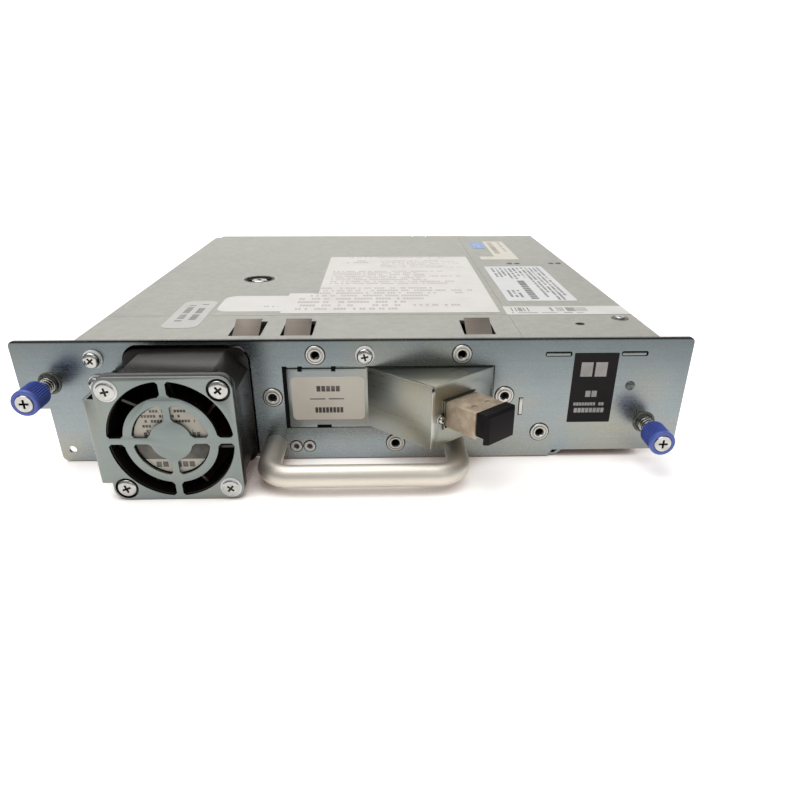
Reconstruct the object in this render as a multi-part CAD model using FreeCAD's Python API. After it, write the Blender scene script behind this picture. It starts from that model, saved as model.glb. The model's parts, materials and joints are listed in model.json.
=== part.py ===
"""Library tape drive in its sled: a half-height drive, a fan, a fibre port and an interface bay.

Millimetres, +Z up. The connector panel faces -Y and the cartridge mouth faces +Y.
The object is modelled with the panel's front face at y = 0 and is moved once, at the end,
so that the origin is the middle of its footprint at the level that it stands on.
"""
import FreeCAD
import Part
import math
import os

V = FreeCAD.Vector
UP = V(0, 0, 1)
RIGHTWARD = V(1, 0, 0)

# ---- driving dimensions -------------------------------------------------------------------
# sheet metal
PANEL_T = 1.2           # connector panel
SHEET = 1.0             # tray, covers and brackets
LAP = 0.05              # air left between two sheets that lie on each other
BEND = 1.5              # outside radius of the folds
CUT = 1.0               # how far a cutter runs past the material
RUN = 0.06              # radial running clearance of shafts and pins

# connector panel
PANEL_W = 220.4
PANEL_H = 42.8          # top edge above the surface that the drive stands on
PANEL_LIFT = 0.4        # bottom edge above that surface
PANEL_CORNER = 1.8
EAR_STEP = 8.0          # lower left corner is cut back by this much
EAR_STEP_Z = 19.8
RAISED_EDGE_X = 66.0    # right of here the bottom edge is higher
RAISED_EDGE = 2.3

# sled
SLED_LEFT = 20.3 - PANEL_W / 2
SLED_RIGHT = PANEL_W / 2 - 11.0
SLED_DEPTH = 212.0      # covers, from the panel's front face
TRAY_SHORT = 5.5        # tray walls stop short of the covers
STRIP_END = 30.3        # seam between the top strip and the drive cover
SEAM = 0.2
FLANGE = 5.0            # flanges folded inward at the top of the tray walls
TRAY_LIP = 8.4          # top of the tray's front lip behind the panel
STRIP_LIP = 33.2        # bottom of the top strip's lip behind the panel
BAY_FLOOR = 2.8         # underside of the tray below the bay
VENTS = 9
VENT_PITCH = 14.0
VENT_LEN = 9.0
VENT_H = 2.4
VENT_Z = 18.0

# spring clips in the top strip: left edges, from the seam between the covers
CLIPS = (-95.1, -78.2, -17.7)
CLIP_W = 8.7
CLIP_FRONT = 5.4
CLIP_CREST = 16.5
CLIP_RISE = 2.6
CLIP_T = 0.35
CLIP_ROOM = 0.9         # window beside the leaf
CLIP_WINDOW_END = 22.5

# fan, 40 mm square
FAN = 40.0
FAN_DEPTH = 28.0
FAN_LEFT = SLED_LEFT + 15.0
FAN_Z = 0.15
FAN_BORE = 18.5
FAN_FLANGE = 3.5
FAN_PITCH = 32.0
FAN_CORNER = 4.0
FAN_WAIST = 6.3         # corners of the body between the flanges are cut back by this much
FAN_REACH = 26.64       # front of the finger guard in front of the panel
FAN_GAP = 0.5           # air round the fan in the panel's opening
OPENING_TOP = 1.4       # air above the fan
OPENING_CORNER = 6.0
HUB_R = 11.6            # rotor cup
ROTOR_START = 3.0       # rotor behind the front of the housing
ROTOR_LEN = 15.5
SHAFT_R = 1.0
SHAFT_FLOAT = 0.3       # air at the end of the shaft
BEARING_FLOOR = 1.1     # bottom of the bearing behind the front of the housing
STRUT_W = 1.6
STRUT_T = 2.2
STRUT_BACK = 0.3        # struts behind the front of the housing
TIP_GAP = 0.5
BLADES = 7
BLADE_T = 0.8
BLADE_SWEEP = 4.2       # half of a blade's width round the hub
BLADE_CAMBER = 1.8
GUARD_T = 1.0
GUARD_WALL = 3.45       # side wall of the guard beside the fan
GUARD_Z0 = 6.1
GUARD_Z1 = 33.4
FOOT_W = 2.9            # foot of the wall, turned towards the fan
SLOTS_OUT = (14.0, 18.75)   # outer ring of slots, inside and outside radius
SLOTS_IN = (6.3, 11.45)     # inner ring
SLOT_CORNER = 0.8
SPOKE = 2.0
SUNK_HOLE_R = 3.5       # two of the fan's screws sit on the fan itself in these holes

# port cut-out and wedge-shaped housing
PORT_X = 10.48          # middle of the cut-out
PORT_W = 69.9
PORT_Z = 22.9
PORT_H = 22.0
PLATE_FOLD = 27.87      # fold between the recessed plate and the wedge, from the cut-out's left
APEX_X = 47.77          # the wedge's apex, from the cut-out's left
APEX_Y = -18.6
WEDGE_CLEAR = 0.55      # lid and floor inside the cut-out's height
RECESS = 0.25

# transceiver
SFP_W = 13.4
SFP_H = 8.5
SFP_OUT = 13.0          # in front of the wedge's right wall
SFP_IN = 37.0
SFP_FROM_APEX = 12.6    # middle of the transceiver along the right wall
SFP_Z = 22.7
SFP_EDGE = 0.35
SLIDE_GAP = 0.2
CAGE_T = 0.4
CAGE_TAB = 4.0
PORT_PITCH = 6.25       # the two fibre sockets
SOCKET_W = 5.0
SOCKET_H = 6.2
SOCKET_D = 9.0
PLUG_W = 13.2
PLUG_T = 4.6
PLUG_H = 10.2
PLUG_LIP = 1.6
PLUG_FIT = 0.25

# handle
GRIP_R = 3.7
GRIP_LEFT = -28.6
GRIP_RIGHT = 32.8
GRIP_REACH = 23.3
GRIP_Z = 5.8
GRIP_BEND = 8.0
GRIP_STEPS = 4          # straight lengths that a bend is drawn in

# captive thumbscrews: distance of each axis from its end of the panel, and its height
THUMBS = {"left": (10.1, 28.7), "right": (11.9, 13.0)}
KNOB_R = 4.15
KNOB_FRONT = 17.6
KNOB_LEN = 9.6
THUMB_R = 1.5           # M3 shank
THUMB_TAIL = 3.0        # shank behind the panel's front face
THUMB_TRAVEL = 4.5
INSERT_R = 2.75
INSERT_T = 0.25
SPRING_R = 2.6
SPRING_WIRE = 0.5
SPRING_TURNS = 4

# holes and slots of the panel
NUT_HOLE_R = 1.25
NUT_ROOM = 2.8
NUTS = ((-23.85, 14.8), (23.85, 14.8), (-38.7, 0.3), (38.7, 0.3), (2.12, -16.8), (51.82, -13.2))
EAR_HOLE = (12.0, 4.6, 1.3)     # from the panel's left end, height, radius
LIGHT = (18.8, 26.3, 1.6)       # from the panel's right end, height, radius
LABEL_SLOTS = (44.1, 19.0)      # middles, from the panel's right end
LABEL_SLOT_W = 8.8
LABEL_SLOT_H = 1.7
LABEL_SLOT_DROP = 5.35
LANCE = (5.8, 16.0, 22.4, 1.5)  # right of the fourth tapped hole, bottom, top, width

# drive mechanism, 5.25-inch half height
DRIVE_W = 146.0
DRIVE_LEFT = SLED_LEFT + 1.4
BEZEL_T = 5.3
CAST_WALL = 2.4
CAST_FLOOR_Z = 8.0
CAST_FLOOR = 2.2
CAST_TOP = 40.4
BOSS = (42.9, 61.0)     # cover screw's boss, from the casting's left and front
BOSS_R = 3.0
BOSS_DISH = (5.6, 6.6, 0.6)     # dished hole in the cover: two radii and depth
FOOT_ROWS = (47.4, 126.6)       # mounting feet, from the casting's mouth end
FOOT_HALF = 69.85
FOOT_PAD = 3.0
BOARD_T = 1.6
BOARD_LIFT = 5.0
DOCK = (79.0, 18.0, 28.0, 8.0)  # rear connector: middle x and z, width, height
DOCK_REACH = 5.0
DOCK_LEN = 21.0
DOCK_WALL = 1.4

# cartridge path
CART_W = 105.4
CART_H = 21.5
MOUTH_GAP = 0.6
MOUTH_Z = 15.6
MOUTH_ROOM = 1.6        # above the cartridge
FUNNEL = 2.2
TRAY_Z = 14.8           # cartridge tray's underside
TRAY_LEN = 82.0
TRAY_BACK = 3.4         # tray's mouth end inside the casting
TRAY_TOP = 33.0
TRAY_T = 0.9
CART_DROP = 4.0
LUG_LEN = 3.0
LUG_Z = 24.0
FRAME_T = 1.2
FRAME_Z0 = 13.1
FRAME_Z1 = 36.0
SPINDLE_BACK = 59.4     # spindle, from the casting's mouth end
CLUTCH_R = 16.2
CLUTCH_TEETH = 12
DOOR_T = 1.4
DOOR_PIN_R = 0.9
DOOR_SWING_R = 0.95
DOOR_ROOM = 2.15        # height of the door's knuckle above the mouth
BUTTON = (41.0, 7.6, 13.0, 4.4)     # eject button: middle x and z, width, height
BUTTON_PROUD = 0.8
WINDOW = (-66.0, 7.6, 13.8, 5.0)    # status window
POST_R = 1.5

# ---- derived places -----------------------------------------------------------------------
PANEL_LEFT = -PANEL_W / 2
PANEL_RIGHT = PANEL_W / 2
COVER_TOP = PANEL_H - 0.2
COVER_Z = COVER_TOP - SHEET
FLANGE_Z = COVER_Z - SHEET
LIP_Y = PANEL_T + LAP
LIP_BACK = LIP_Y + SHEET
TRAY_END = SLED_DEPTH - TRAY_SHORT
FAN_X = FAN_LEFT + FAN / 2
FAN_ZC = FAN_Z + FAN / 2
GUARD_Y = -FAN_REACH
FAN_Y = GUARD_Y + GUARD_T
FAN_BACK = FAN_Y + FAN_DEPTH
OPENING_X0 = FAN_LEFT - FAN_GAP
OPENING_X1 = FAN_LEFT + FAN + FAN_GAP
PORT_X0 = PORT_X - PORT_W / 2
PORT_X1 = PORT_X + PORT_W / 2
PORT_Z0 = PORT_Z - PORT_H / 2
PORT_Z1 = PORT_Z + PORT_H / 2
FOLD_X = PORT_X0 + PLATE_FOLD
WEDGE_Z0 = PORT_Z0 + WEDGE_CLEAR
WEDGE_Z1 = PORT_Z1 - WEDGE_CLEAR
APEX = V(PORT_X0 + APEX_X, APEX_Y, 0)
DRIVE_RIGHT = DRIVE_LEFT + DRIVE_W
DRIVE_X = DRIVE_LEFT + DRIVE_W / 2
DRIVE_START = STRIP_END + 0.3
DRIVE_END = TRAY_END - LAP
SEAM_X = DRIVE_RIGHT - 3.4
FLOOR_TOP = CAST_FLOOR_Z + CAST_FLOOR
BOSS_X = DRIVE_LEFT + BOSS[0]
BOSS_Y = DRIVE_START + BOSS[1]
BEZEL_Y = TRAY_END
MOUTH_HALF = CART_W / 2 + MOUTH_GAP
MOUTH_TOP = MOUTH_Z + CART_H + MOUTH_ROOM
RAIL_HALF = MOUTH_HALF + 1.3
TRAY_Y1 = DRIVE_END - TRAY_BACK
TRAY_Y0 = TRAY_Y1 - TRAY_LEN
SPINDLE_Y = DRIVE_END - SPINDLE_BACK
DOOR_Y = BEZEL_Y + 2.0
DOOR_Z = MOUTH_TOP + 0.9

PARTS = {}


# ---- shape helpers ------------------------------------------------------------------------
def box(x0, x1, y0, y1, z0, z1):
    return Part.makeBox(x1 - x0, y1 - y0, z1 - z0, V(x0, y0, z0))


def spread(a, b):
    """The two numbers in rising order, for mirrored pieces."""
    return min(a, b), max(a, b)


def rod(r, x, y, z, length, direction=V(0, 1, 0)):
    return Part.makeCylinder(r, length, V(x, y, z), direction)


def tube(r_out, r_in, x, y, z, length, direction=V(0, 1, 0)):
    bore = rod(r_in, x, y, z, length, direction)
    return rod(r_out, x, y, z, length, direction).cut(bore)


def outline(points):
    """A closed face in the XY plane through (a, b) or (a, b, radius) corners."""
    edges = []
    starts = []
    ends = []
    count = len(points)
    for i in range(count):
        here = V(points[i][0], points[i][1], 0)
        before = V(points[i - 1][0], points[i - 1][1], 0)
        after = V(points[(i + 1) % count][0], points[(i + 1) % count][1], 0)
        radius = points[i][2] if len(points[i]) > 2 else 0
        if radius <= 0:
            starts.append(here)
            ends.append(here)
            edges.append(None)
            continue
        to_before = (before - here).normalize()
        to_after = (after - here).normalize()
        half = math.acos(to_before.dot(to_after)) / 2
        first = here + to_before * (radius / math.tan(half))
        last = here + to_after * (radius / math.tan(half))
        middle_way = (to_before + to_after).normalize()
        middle = here + middle_way * (radius / math.sin(half) - radius)
        starts.append(first)
        ends.append(last)
        edges.append(Part.Arc(first, middle, last).toShape())
    loop = []
    for i in range(count):
        if edges[i] is not None:
            loop.append(edges[i])
        following = starts[(i + 1) % count]
        if (following - ends[i]).Length > 1e-6:
            loop.append(Part.makeLine(ends[i], following))
    return Part.Face(Part.Wire(Part.__sortEdges__(loop)))


def along_y(points, y0, y1):
    """Solid with an XZ outline, from y0 to y1."""
    solid = outline(points).extrude(V(0, 0, y1 - y0))
    solid.rotate(V(0, 0, 0), V(1, 0, 0), 90)
    solid.translate(V(0, y1, 0))
    return solid


def along_z(points, z0, z1):
    """Solid with an XY outline, from z0 to z1."""
    solid = outline(points).extrude(V(0, 0, z1 - z0))
    solid.translate(V(0, 0, z0))
    return solid


def along_x(points, x0, x1):
    """Solid with a YZ outline, from x0 to x1."""
    solid = outline(points).extrude(V(0, 0, x1 - x0))
    solid.rotate(V(0, 0, 0), V(1, 1, 1), 120)
    solid.translate(V(x0, 0, 0))
    return solid


def corners(a0, a1, b0, b1, r=0):
    return [(a0, b0, r), (a1, b0, r), (a1, b1, r), (a0, b1, r)]


def bevelled(a0, a1, b0, b1, c):
    """Corners of a rectangle whose corners are cut off at 45 degrees."""
    return [(a0 + c, b0), (a1 - c, b0), (a1, b0 + c), (a1, b1 - c),
            (a1 - c, b1), (a0 + c, b1), (a0, b1 - c), (a0, b0 + c)]


def centred(spot, grow=0.0):
    """Edges of a rectangle given as (middle a, middle b, width, height)."""
    a, b, width, height = spot
    return (a - width / 2 - grow, a + width / 2 + grow, b - height / 2 - grow, b + height / 2 + grow)


def fuse(shapes):
    return shapes[0].multiFuse(shapes[1:]).removeSplitter()


def keep(name, shape):
    PARTS[name] = shape


# ---- connector panel -------------------------------------------------------------------------
def nut_places():
    return [(PORT_X + dx, PORT_Z + dz) for dx, dz in NUTS]


def nut_rooms(z0, z1):
    """Room behind the panel for the screws of the tapped holes near a band of height."""
    r = NUT_ROOM
    return [box(x - r, x + r, 0, LIP_BACK + CUT, z - r, z + r)
            for x, z in nut_places() if z0 - r < z < z1 + r]


def thumb_place(side):
    inset, z = THUMBS[side]
    x = PANEL_LEFT + inset if side == "left" else PANEL_RIGHT - inset
    return x, z


def connector_panel():
    step_x = PANEL_LEFT + EAR_STEP
    low = PANEL_LIFT + RAISED_EDGE
    plate = [
        (step_x, PANEL_LIFT, PANEL_CORNER),
        (RAISED_EDGE_X, PANEL_LIFT),
        (RAISED_EDGE_X + 1.6, low),
        (PANEL_RIGHT, low, PANEL_CORNER),
        (PANEL_RIGHT, PANEL_H, PANEL_CORNER),
        (PANEL_LEFT, PANEL_H, PANEL_CORNER),
        (PANEL_LEFT, EAR_STEP_Z),
        (step_x, EAR_STEP_Z),
    ]
    panel = along_y(plate, 0, PANEL_T)
    back = PANEL_T + CUT
    through = PANEL_T + 2 * CUT
    opening = [
        (OPENING_X0, -10), (OPENING_X1, -10),
        (OPENING_X1, FAN_Z + FAN + OPENING_TOP, OPENING_CORNER),
        (OPENING_X0, FAN_Z + FAN + OPENING_TOP, OPENING_CORNER),
    ]
    cutters = [along_y(opening, -CUT, back)]
    cutters.append(box(PORT_X0, PORT_X1, -CUT, back, PORT_Z0, PORT_Z1))
    slot_z = PANEL_H - LABEL_SLOT_DROP
    for inset in LABEL_SLOTS:
        slot = centred((PANEL_RIGHT - inset, slot_z, LABEL_SLOT_W, LABEL_SLOT_H))
        cutters.append(along_y(bevelled(*slot, LABEL_SLOT_H / 4), -CUT, back))
    offset, lance_z0, lance_z1, lance_w = LANCE
    lance_x = PORT_X + NUTS[3][0] + offset
    cutters.append(box(lance_x - lance_w / 2, lance_x + lance_w / 2, -CUT, back, lance_z0, lance_z1))
    for x, z in nut_places():
        cutters.append(rod(NUT_HOLE_R, x, -CUT, z, through))
    for side in THUMBS:
        x, z = thumb_place(side)
        cutters.append(rod(THUMB_R + RUN, x, -CUT, z, through))
    cutters.append(rod(EAR_HOLE[2], PANEL_LEFT + EAR_HOLE[0], -CUT, EAR_HOLE[1], through))
    cutters.append(rod(LIGHT[2], PANEL_RIGHT - LIGHT[0], -CUT, LIGHT[1], through))
    keep("connector_panel", panel.cut(cutters).removeSplitter())
    lens = rod(LIGHT[2] - LAP, PANEL_RIGHT - LIGHT[0], -0.3, LIGHT[1], PANEL_T + 2.0)
    keep("light_lens", lens)


# ---- sled tray ---------------------------------------------------------------------------------
def sled_tray():
    """One folded sheet: floor with a step below the bay, two walls and the flanges on them."""
    step_x = RAISED_EDGE_X + 3.0
    inner = BEND - SHEET
    section = [
        (SLED_LEFT, 0, BEND),
        (step_x, 0),
        (step_x + 3.0, BAY_FLOOR),
        (SLED_RIGHT, BAY_FLOOR, BEND),
        (SLED_RIGHT, COVER_Z, BEND),
        (SLED_RIGHT - FLANGE, COVER_Z),
        (SLED_RIGHT - FLANGE, FLANGE_Z),
        (SLED_RIGHT - SHEET, FLANGE_Z, inner),
        (SLED_RIGHT - SHEET, BAY_FLOOR + SHEET, inner),
        (step_x + 2.6, BAY_FLOOR + SHEET),
        (step_x - 0.4, SHEET),
        (SLED_LEFT + SHEET, SHEET, inner),
        (SLED_LEFT + SHEET, FLANGE_Z, inner),
        (SLED_LEFT + FLANGE, FLANGE_Z),
        (SLED_LEFT + FLANGE, COVER_Z),
        (SLED_LEFT, COVER_Z, BEND),
    ]
    tray = along_y(section, LIP_Y, TRAY_END)
    lip = box(OPENING_X1 + 0.6, RAISED_EDGE_X - 2, LIP_Y, LIP_BACK, SHEET / 2, TRAY_LIP)
    bay_end = box(DRIVE_RIGHT + 0.5, SLED_RIGHT - SHEET / 2, TRAY_END - SHEET, TRAY_END,
                  BAY_FLOOR + SHEET / 2, FLANGE_Z - 0.3)
    tray = fuse([tray, lip, bay_end])
    cutters = [box(OPENING_X0, OPENING_X1, 0, FAN_BACK + 0.6, -CUT, FAN_ZC)]
    cutters += nut_rooms(0, TRAY_LIP)
    thumb_x, thumb_z = thumb_place("right")
    reach = THUMB_TAIL + THUMB_TRAVEL + 1
    cutters.append(box(thumb_x - 3, thumb_x + 3, 0, reach, thumb_z - 3, thumb_z + 3))
    dock = centred(DOCK, 0.2)
    cutters.append(box(dock[0], dock[1], TRAY_END - SHEET - CUT, TRAY_END + CUT, dock[2], dock[3]))
    first = (SLED_DEPTH - (VENTS - 1) * VENT_PITCH) / 2 + 10
    for i in range(VENTS):
        y = first + i * VENT_PITCH - VENT_LEN / 2
        for z in (VENT_Z, VENT_Z + 8.0):
            cutters.append(box(SLED_RIGHT - 3, SLED_RIGHT + CUT, y, y + VENT_LEN, z, z + VENT_H))
    keep("sled_tray", tray.cut(cutters).removeSplitter())


# ---- covers ------------------------------------------------------------------------------------
def clip_edges():
    return [SEAM_X + offset for offset in CLIPS]


def top_strip():
    """Strip behind the panel, with a lip folded down behind it and a tongue under the cover."""
    right = SEAM_X - SEAM / 2
    lip_left = SLED_LEFT + FLANGE + 0.5
    strip = box(SLED_LEFT, right, LIP_Y, STRIP_END, COVER_Z, COVER_TOP)
    tongue = box(lip_left + 0.5, right - 1, STRIP_END - 6, STRIP_END + 5, COVER_Z - SHEET + 0.2, COVER_Z)
    lip = along_y([(lip_left, STRIP_LIP), (PORT_X0 - 9, STRIP_LIP), (PORT_X0 - 9, STRIP_LIP + 2.1),
                   (right, STRIP_LIP + 2.1), (right, COVER_Z + 0.2), (lip_left, COVER_Z + 0.2)],
                  LIP_Y, LIP_BACK)
    strip = fuse([strip, tongue, lip])
    cutters = [box(OPENING_X0, OPENING_X1, 0, LIP_BACK + CUT, 0, COVER_Z - 0.6)]
    cutters += nut_rooms(STRIP_LIP, PANEL_H)
    for x in clip_edges():
        cutters.append(box(x - CLIP_ROOM, x + CLIP_W + CLIP_ROOM, CLIP_FRONT, CLIP_WINDOW_END,
                           COVER_Z - 3, COVER_TOP + CUT))
    keep("top_strip", strip.cut(cutters).removeSplitter())


def spring_clips():
    """Leaves that rise out of windows in the strip to ground the sled to its bay."""
    foot_z = COVER_Z - CLIP_T
    root = LIP_BACK + 0.3
    slope = CLIP_FRONT + 0.8
    top = COVER_TOP + CLIP_RISE
    tail = CLIP_CREST + 1.6
    leaf = [(root, foot_z), (slope, foot_z), (CLIP_CREST, top - CLIP_T), (tail, top - CLIP_T - 0.5),
            (tail, top - 0.5), (CLIP_CREST, top), (slope, foot_z + CLIP_T), (root, foot_z + CLIP_T)]
    keep("spring_clips", Part.makeCompound([along_x(leaf, x, x + CLIP_W) for x in clip_edges()]))


def drive_cover():
    right = SEAM_X - SEAM / 2
    sheet = [(SLED_LEFT, STRIP_END + SEAM), (right, STRIP_END + SEAM), (right, SLED_DEPTH),
             (SLED_LEFT + 3.0, SLED_DEPTH), (SLED_LEFT + 3.0, TRAY_END), (SLED_LEFT, TRAY_END)]
    cover = along_z(sheet, COVER_Z, COVER_TOP)
    r, r_top, deep = BOSS_DISH
    cutters = [rod(r, BOSS_X, BOSS_Y, COVER_Z - CUT, SHEET + 2 * CUT, UP)]
    cutters.append(Part.makeCone(r, r_top, deep, V(BOSS_X, BOSS_Y, COVER_TOP - deep + 0.001), UP))
    for x in (SEAM_X - 26.9, SEAM_X - 19.0):
        cutters.append(box(x - 0.3, x + 0.3, SLED_DEPTH - 2.6, SLED_DEPTH + CUT, COVER_Z - CUT, 60))
    keep("drive_cover", cover.cut(cutters).removeSplitter())


def bay_cover():
    left = SEAM_X + SEAM / 2
    dip = 0.9
    sheet = [(left, LIP_Y), (SLED_RIGHT, LIP_Y), (SLED_RIGHT, SLED_DEPTH), (SLED_RIGHT - 15.2, SLED_DEPTH),
             (SLED_RIGHT - 15.8, SLED_DEPTH - dip), (left + 6.3, SLED_DEPTH - dip),
             (left + 5.7, SLED_DEPTH), (left, SLED_DEPTH)]
    cover = along_z(sheet, COVER_Z, COVER_TOP)
    sight = rod(1.6, SLED_RIGHT - 22.2, 17.3, COVER_Z - CUT, SHEET + 2 * CUT, UP)
    keep("bay_cover", cover.cut(sight))


# ---- fan ---------------------------------------------------------------------------------------
def fan_corner_places():
    half = FAN_PITCH / 2
    return [(FAN_X + sx * half, FAN_ZC + sz * half) for sx in (-1, 1) for sz in (-1, 1)]


def turned(shape, degrees):
    """Turns a shape about the fan's axis."""
    shape.rotate(V(FAN_X, 0, FAN_ZC), V(0, 1, 0), degrees)
    return shape


def fan_housing():
    """Two square flanges on a narrower body, with the bearing's base on four struts in front."""
    x0 = FAN_LEFT
    x1 = FAN_LEFT + FAN
    z0 = FAN_Z
    z1 = FAN_Z + FAN
    square = corners(x0, x1, z0, z1, FAN_CORNER)
    front = along_y(square, FAN_Y, FAN_Y + FAN_FLANGE)
    back = along_y(square, FAN_BACK - FAN_FLANGE, FAN_BACK)
    waist = along_y(bevelled(x0 + 0.3, x1 - 0.3, z0 + 0.3, z1 - 0.3, FAN_WAIST),
                    FAN_Y + FAN_FLANGE, FAN_BACK - FAN_FLANGE)
    body = fuse([front, back, waist])
    body = body.cut(rod(FAN_BORE, FAN_X, FAN_Y - CUT, FAN_ZC, FAN_DEPTH + 2 * CUT))
    base = rod(HUB_R, FAN_X, FAN_Y + STRUT_BACK, FAN_ZC, STRUT_T)
    struts = []
    for i in range(4):
        strut = box(FAN_X + HUB_R - 1, FAN_X + FAN_BORE + 0.4, FAN_Y + STRUT_BACK,
                    FAN_Y + STRUT_T, FAN_ZC - STRUT_W / 2, FAN_ZC + STRUT_W / 2)
        struts.append(turned(strut, 90 * i))
    housing = fuse([body, base] + struts)
    bearing = rod(SHAFT_R + RUN, FAN_X, FAN_Y + BEARING_FLOOR, FAN_ZC, FAN_DEPTH)
    keep("fan_housing", housing.cut(bearing))


def blade(turn):
    """A plate bent to an arc and set across the air stream, cut to the rotor's tip circle."""
    half = BLADE_T / 2
    y0 = FAN_Y + ROTOR_START + 0.8
    y1 = y0 + ROTOR_LEN - 2.4
    sides = []
    for offset in (-half, half):
        sides.append((V(0, y0, -BLADE_SWEEP - offset), V(0, (y0 + y1) / 2, -BLADE_CAMBER - offset),
                      V(0, y1, BLADE_SWEEP - offset)))
    low, high = sides
    edges = [Part.Arc(*low).toShape(), Part.makeLine(low[2], high[2]),
             Part.Arc(*high).toShape(), Part.makeLine(high[0], low[0])]
    section = Part.Face(Part.Wire(Part.__sortEdges__(edges)))
    plate = section.extrude(V(FAN_BORE, 0, 0))
    plate = plate.cut(rod(HUB_R - CUT, 0, y0 - CUT, 0, ROTOR_LEN + CUT))
    plate = plate.common(rod(FAN_BORE - TIP_GAP, 0, y0 - CUT, 0, ROTOR_LEN + CUT))
    plate.translate(V(FAN_X, 0, FAN_ZC))
    return turned(plate, turn)


def fan_impeller():
    """A closed hub with its shaft's end and the blades round it."""
    hub = rod(HUB_R, FAN_X, FAN_Y + ROTOR_START, FAN_ZC, ROTOR_LEN)
    shaft_y = FAN_Y + BEARING_FLOOR + SHAFT_FLOAT
    shaft = rod(SHAFT_R, FAN_X, shaft_y, FAN_ZC, FAN_Y + ROTOR_START + CUT - shaft_y)
    blades = [blade(360.0 * i / BLADES) for i in range(BLADES)]
    keep("fan_impeller", fuse([hub, shaft] + blades))


def ring_slot(radii, quarter):
    """One of four slots between two spokes of the grille, with bevelled corners."""
    r_in, r_out = radii
    half = SPOKE / 2
    far = r_out + CUT
    y0 = GUARD_Y - CUT
    y1 = GUARD_Y + GUARD_T + CUT
    ring = tube(r_out, r_in, FAN_X, y0, FAN_ZC, y1 - y0)
    window = box(FAN_X + half, FAN_X + far, y0, y1, FAN_ZC + half, FAN_ZC + far)
    slot = ring.common(window)
    sides = [e for e in slot.Edges if abs(abs(e.tangentAt(e.FirstParameter).y) - 1) < 1e-6]
    return turned(slot.makeChamfer(SLOT_CORNER, sides), 90 * quarter)


def finger_guard():
    """Grille plate on the fan, folded back past its side to a narrow foot on the panel."""
    x0 = FAN_LEFT
    x1 = FAN_LEFT + FAN
    wall_x = x0 - GUARD_WALL
    plate = along_y([
        (x0, FAN_Z, FAN_CORNER), (x1, FAN_Z, FAN_CORNER),
        (x1, FAN_Z + FAN, FAN_CORNER), (x0, FAN_Z + FAN, FAN_CORNER),
        (x0, GUARD_Z1), (x0 - 1, GUARD_Z1), (x0 - 1, GUARD_Z0), (x0, GUARD_Z0)],
        GUARD_Y, GUARD_Y + GUARD_T)
    fold = along_z([
        (wall_x, GUARD_Y, GUARD_T), (x0, GUARD_Y), (x0, GUARD_Y + GUARD_T),
        (wall_x + GUARD_T, GUARD_Y + GUARD_T), (wall_x + GUARD_T, -GUARD_T),
        (wall_x + FOOT_W, -GUARD_T), (wall_x + FOOT_W, 0), (wall_x, 0, GUARD_T)],
        GUARD_Z0, GUARD_Z1)
    cutters = [ring_slot(radii, quarter) for radii in (SLOTS_OUT, SLOTS_IN) for quarter in range(4)]
    sunk = fan_corner_places()
    for x, z in (sunk[0], sunk[3]):
        cutters.append(rod(SUNK_HOLE_R, x, GUARD_Y - CUT, z, GUARD_T + 2 * CUT))
    keep("finger_guard", fuse([plate, fold]).cut(cutters).removeSplitter())


# ---- port housing --------------------------------------------------------------------------------
def wall_frame():
    """Directions along the wedge's right wall and out of it."""
    along = (V(PORT_X1 - 0.45, 0, 0) - APEX).normalize()
    return along, V(along.y, -along.x, 0)


def left_frame():
    """Root of the wedge's left wall, its direction to the apex, and the way into the wedge."""
    root = V(FOLD_X, RECESS, 0)
    along = (APEX - root).normalize()
    return root, along, V(-along.y, along.x, 0)


def on_wall(name, shape, height):
    """Keeps a shape built with -Y outward, X along, at the transceiver's place on the wall."""
    along, out = wall_frame()
    shape.rotate(V(0, 0, 0), UP, math.degrees(math.atan2(along.y, along.x)))
    shape.translate(APEX + along * SFP_FROM_APEX + UP * height)
    keep(name, shape)


def port_bracket():
    """Recessed plate, backing behind the panel and the wedge's left wall, in one bracket."""
    root, along, inward = left_frame()
    y0 = RECESS
    y1 = RECESS + SHEET
    plate = box(PORT_X0 + 1.3, FOLD_X + 0.8, y0, y1, PORT_Z0 + LAP, PORT_Z1 - 1.0)
    cutters = [box(PORT_X0 + x - 0.7, PORT_X0 + x + 0.7, y0 - CUT, y1 + CUT, PORT_Z1 - 1.9, PORT_Z1)
               for x in (5.7, 16.7)]
    cutters.append(box(PORT_X0 + 10.4, PORT_X0 + 15.3, y0 - CUT, y1 + CUT, PORT_Z0 - CUT, PORT_Z0 + 1.1))
    backing = box(PORT_X0 - 8, PORT_X1 + 8, LIP_Y, LIP_BACK, TRAY_LIP + 0.3, STRIP_LIP + 1.8)
    window = box(PORT_X0 + 2.4, PORT_X1 - 0.3, 0, LIP_BACK + CUT, PORT_Z0 + 0.2, PORT_Z1 - 2.3)
    wall = along_z([
        (root.x, root.y), (APEX.x, APEX.y),
        (APEX.x + inward.x * SHEET, APEX.y + inward.y * SHEET),
        (root.x + inward.x * SHEET, root.y + inward.y * SHEET),
        (FOLD_X - 0.6, y1), (FOLD_X - 0.6, y0)], WEDGE_Z0, WEDGE_Z1)
    backing = backing.cut([window] + nut_rooms(TRAY_LIP, STRIP_LIP))
    keep("port_bracket", fuse([plate.cut(cutters), backing, wall]))


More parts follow.
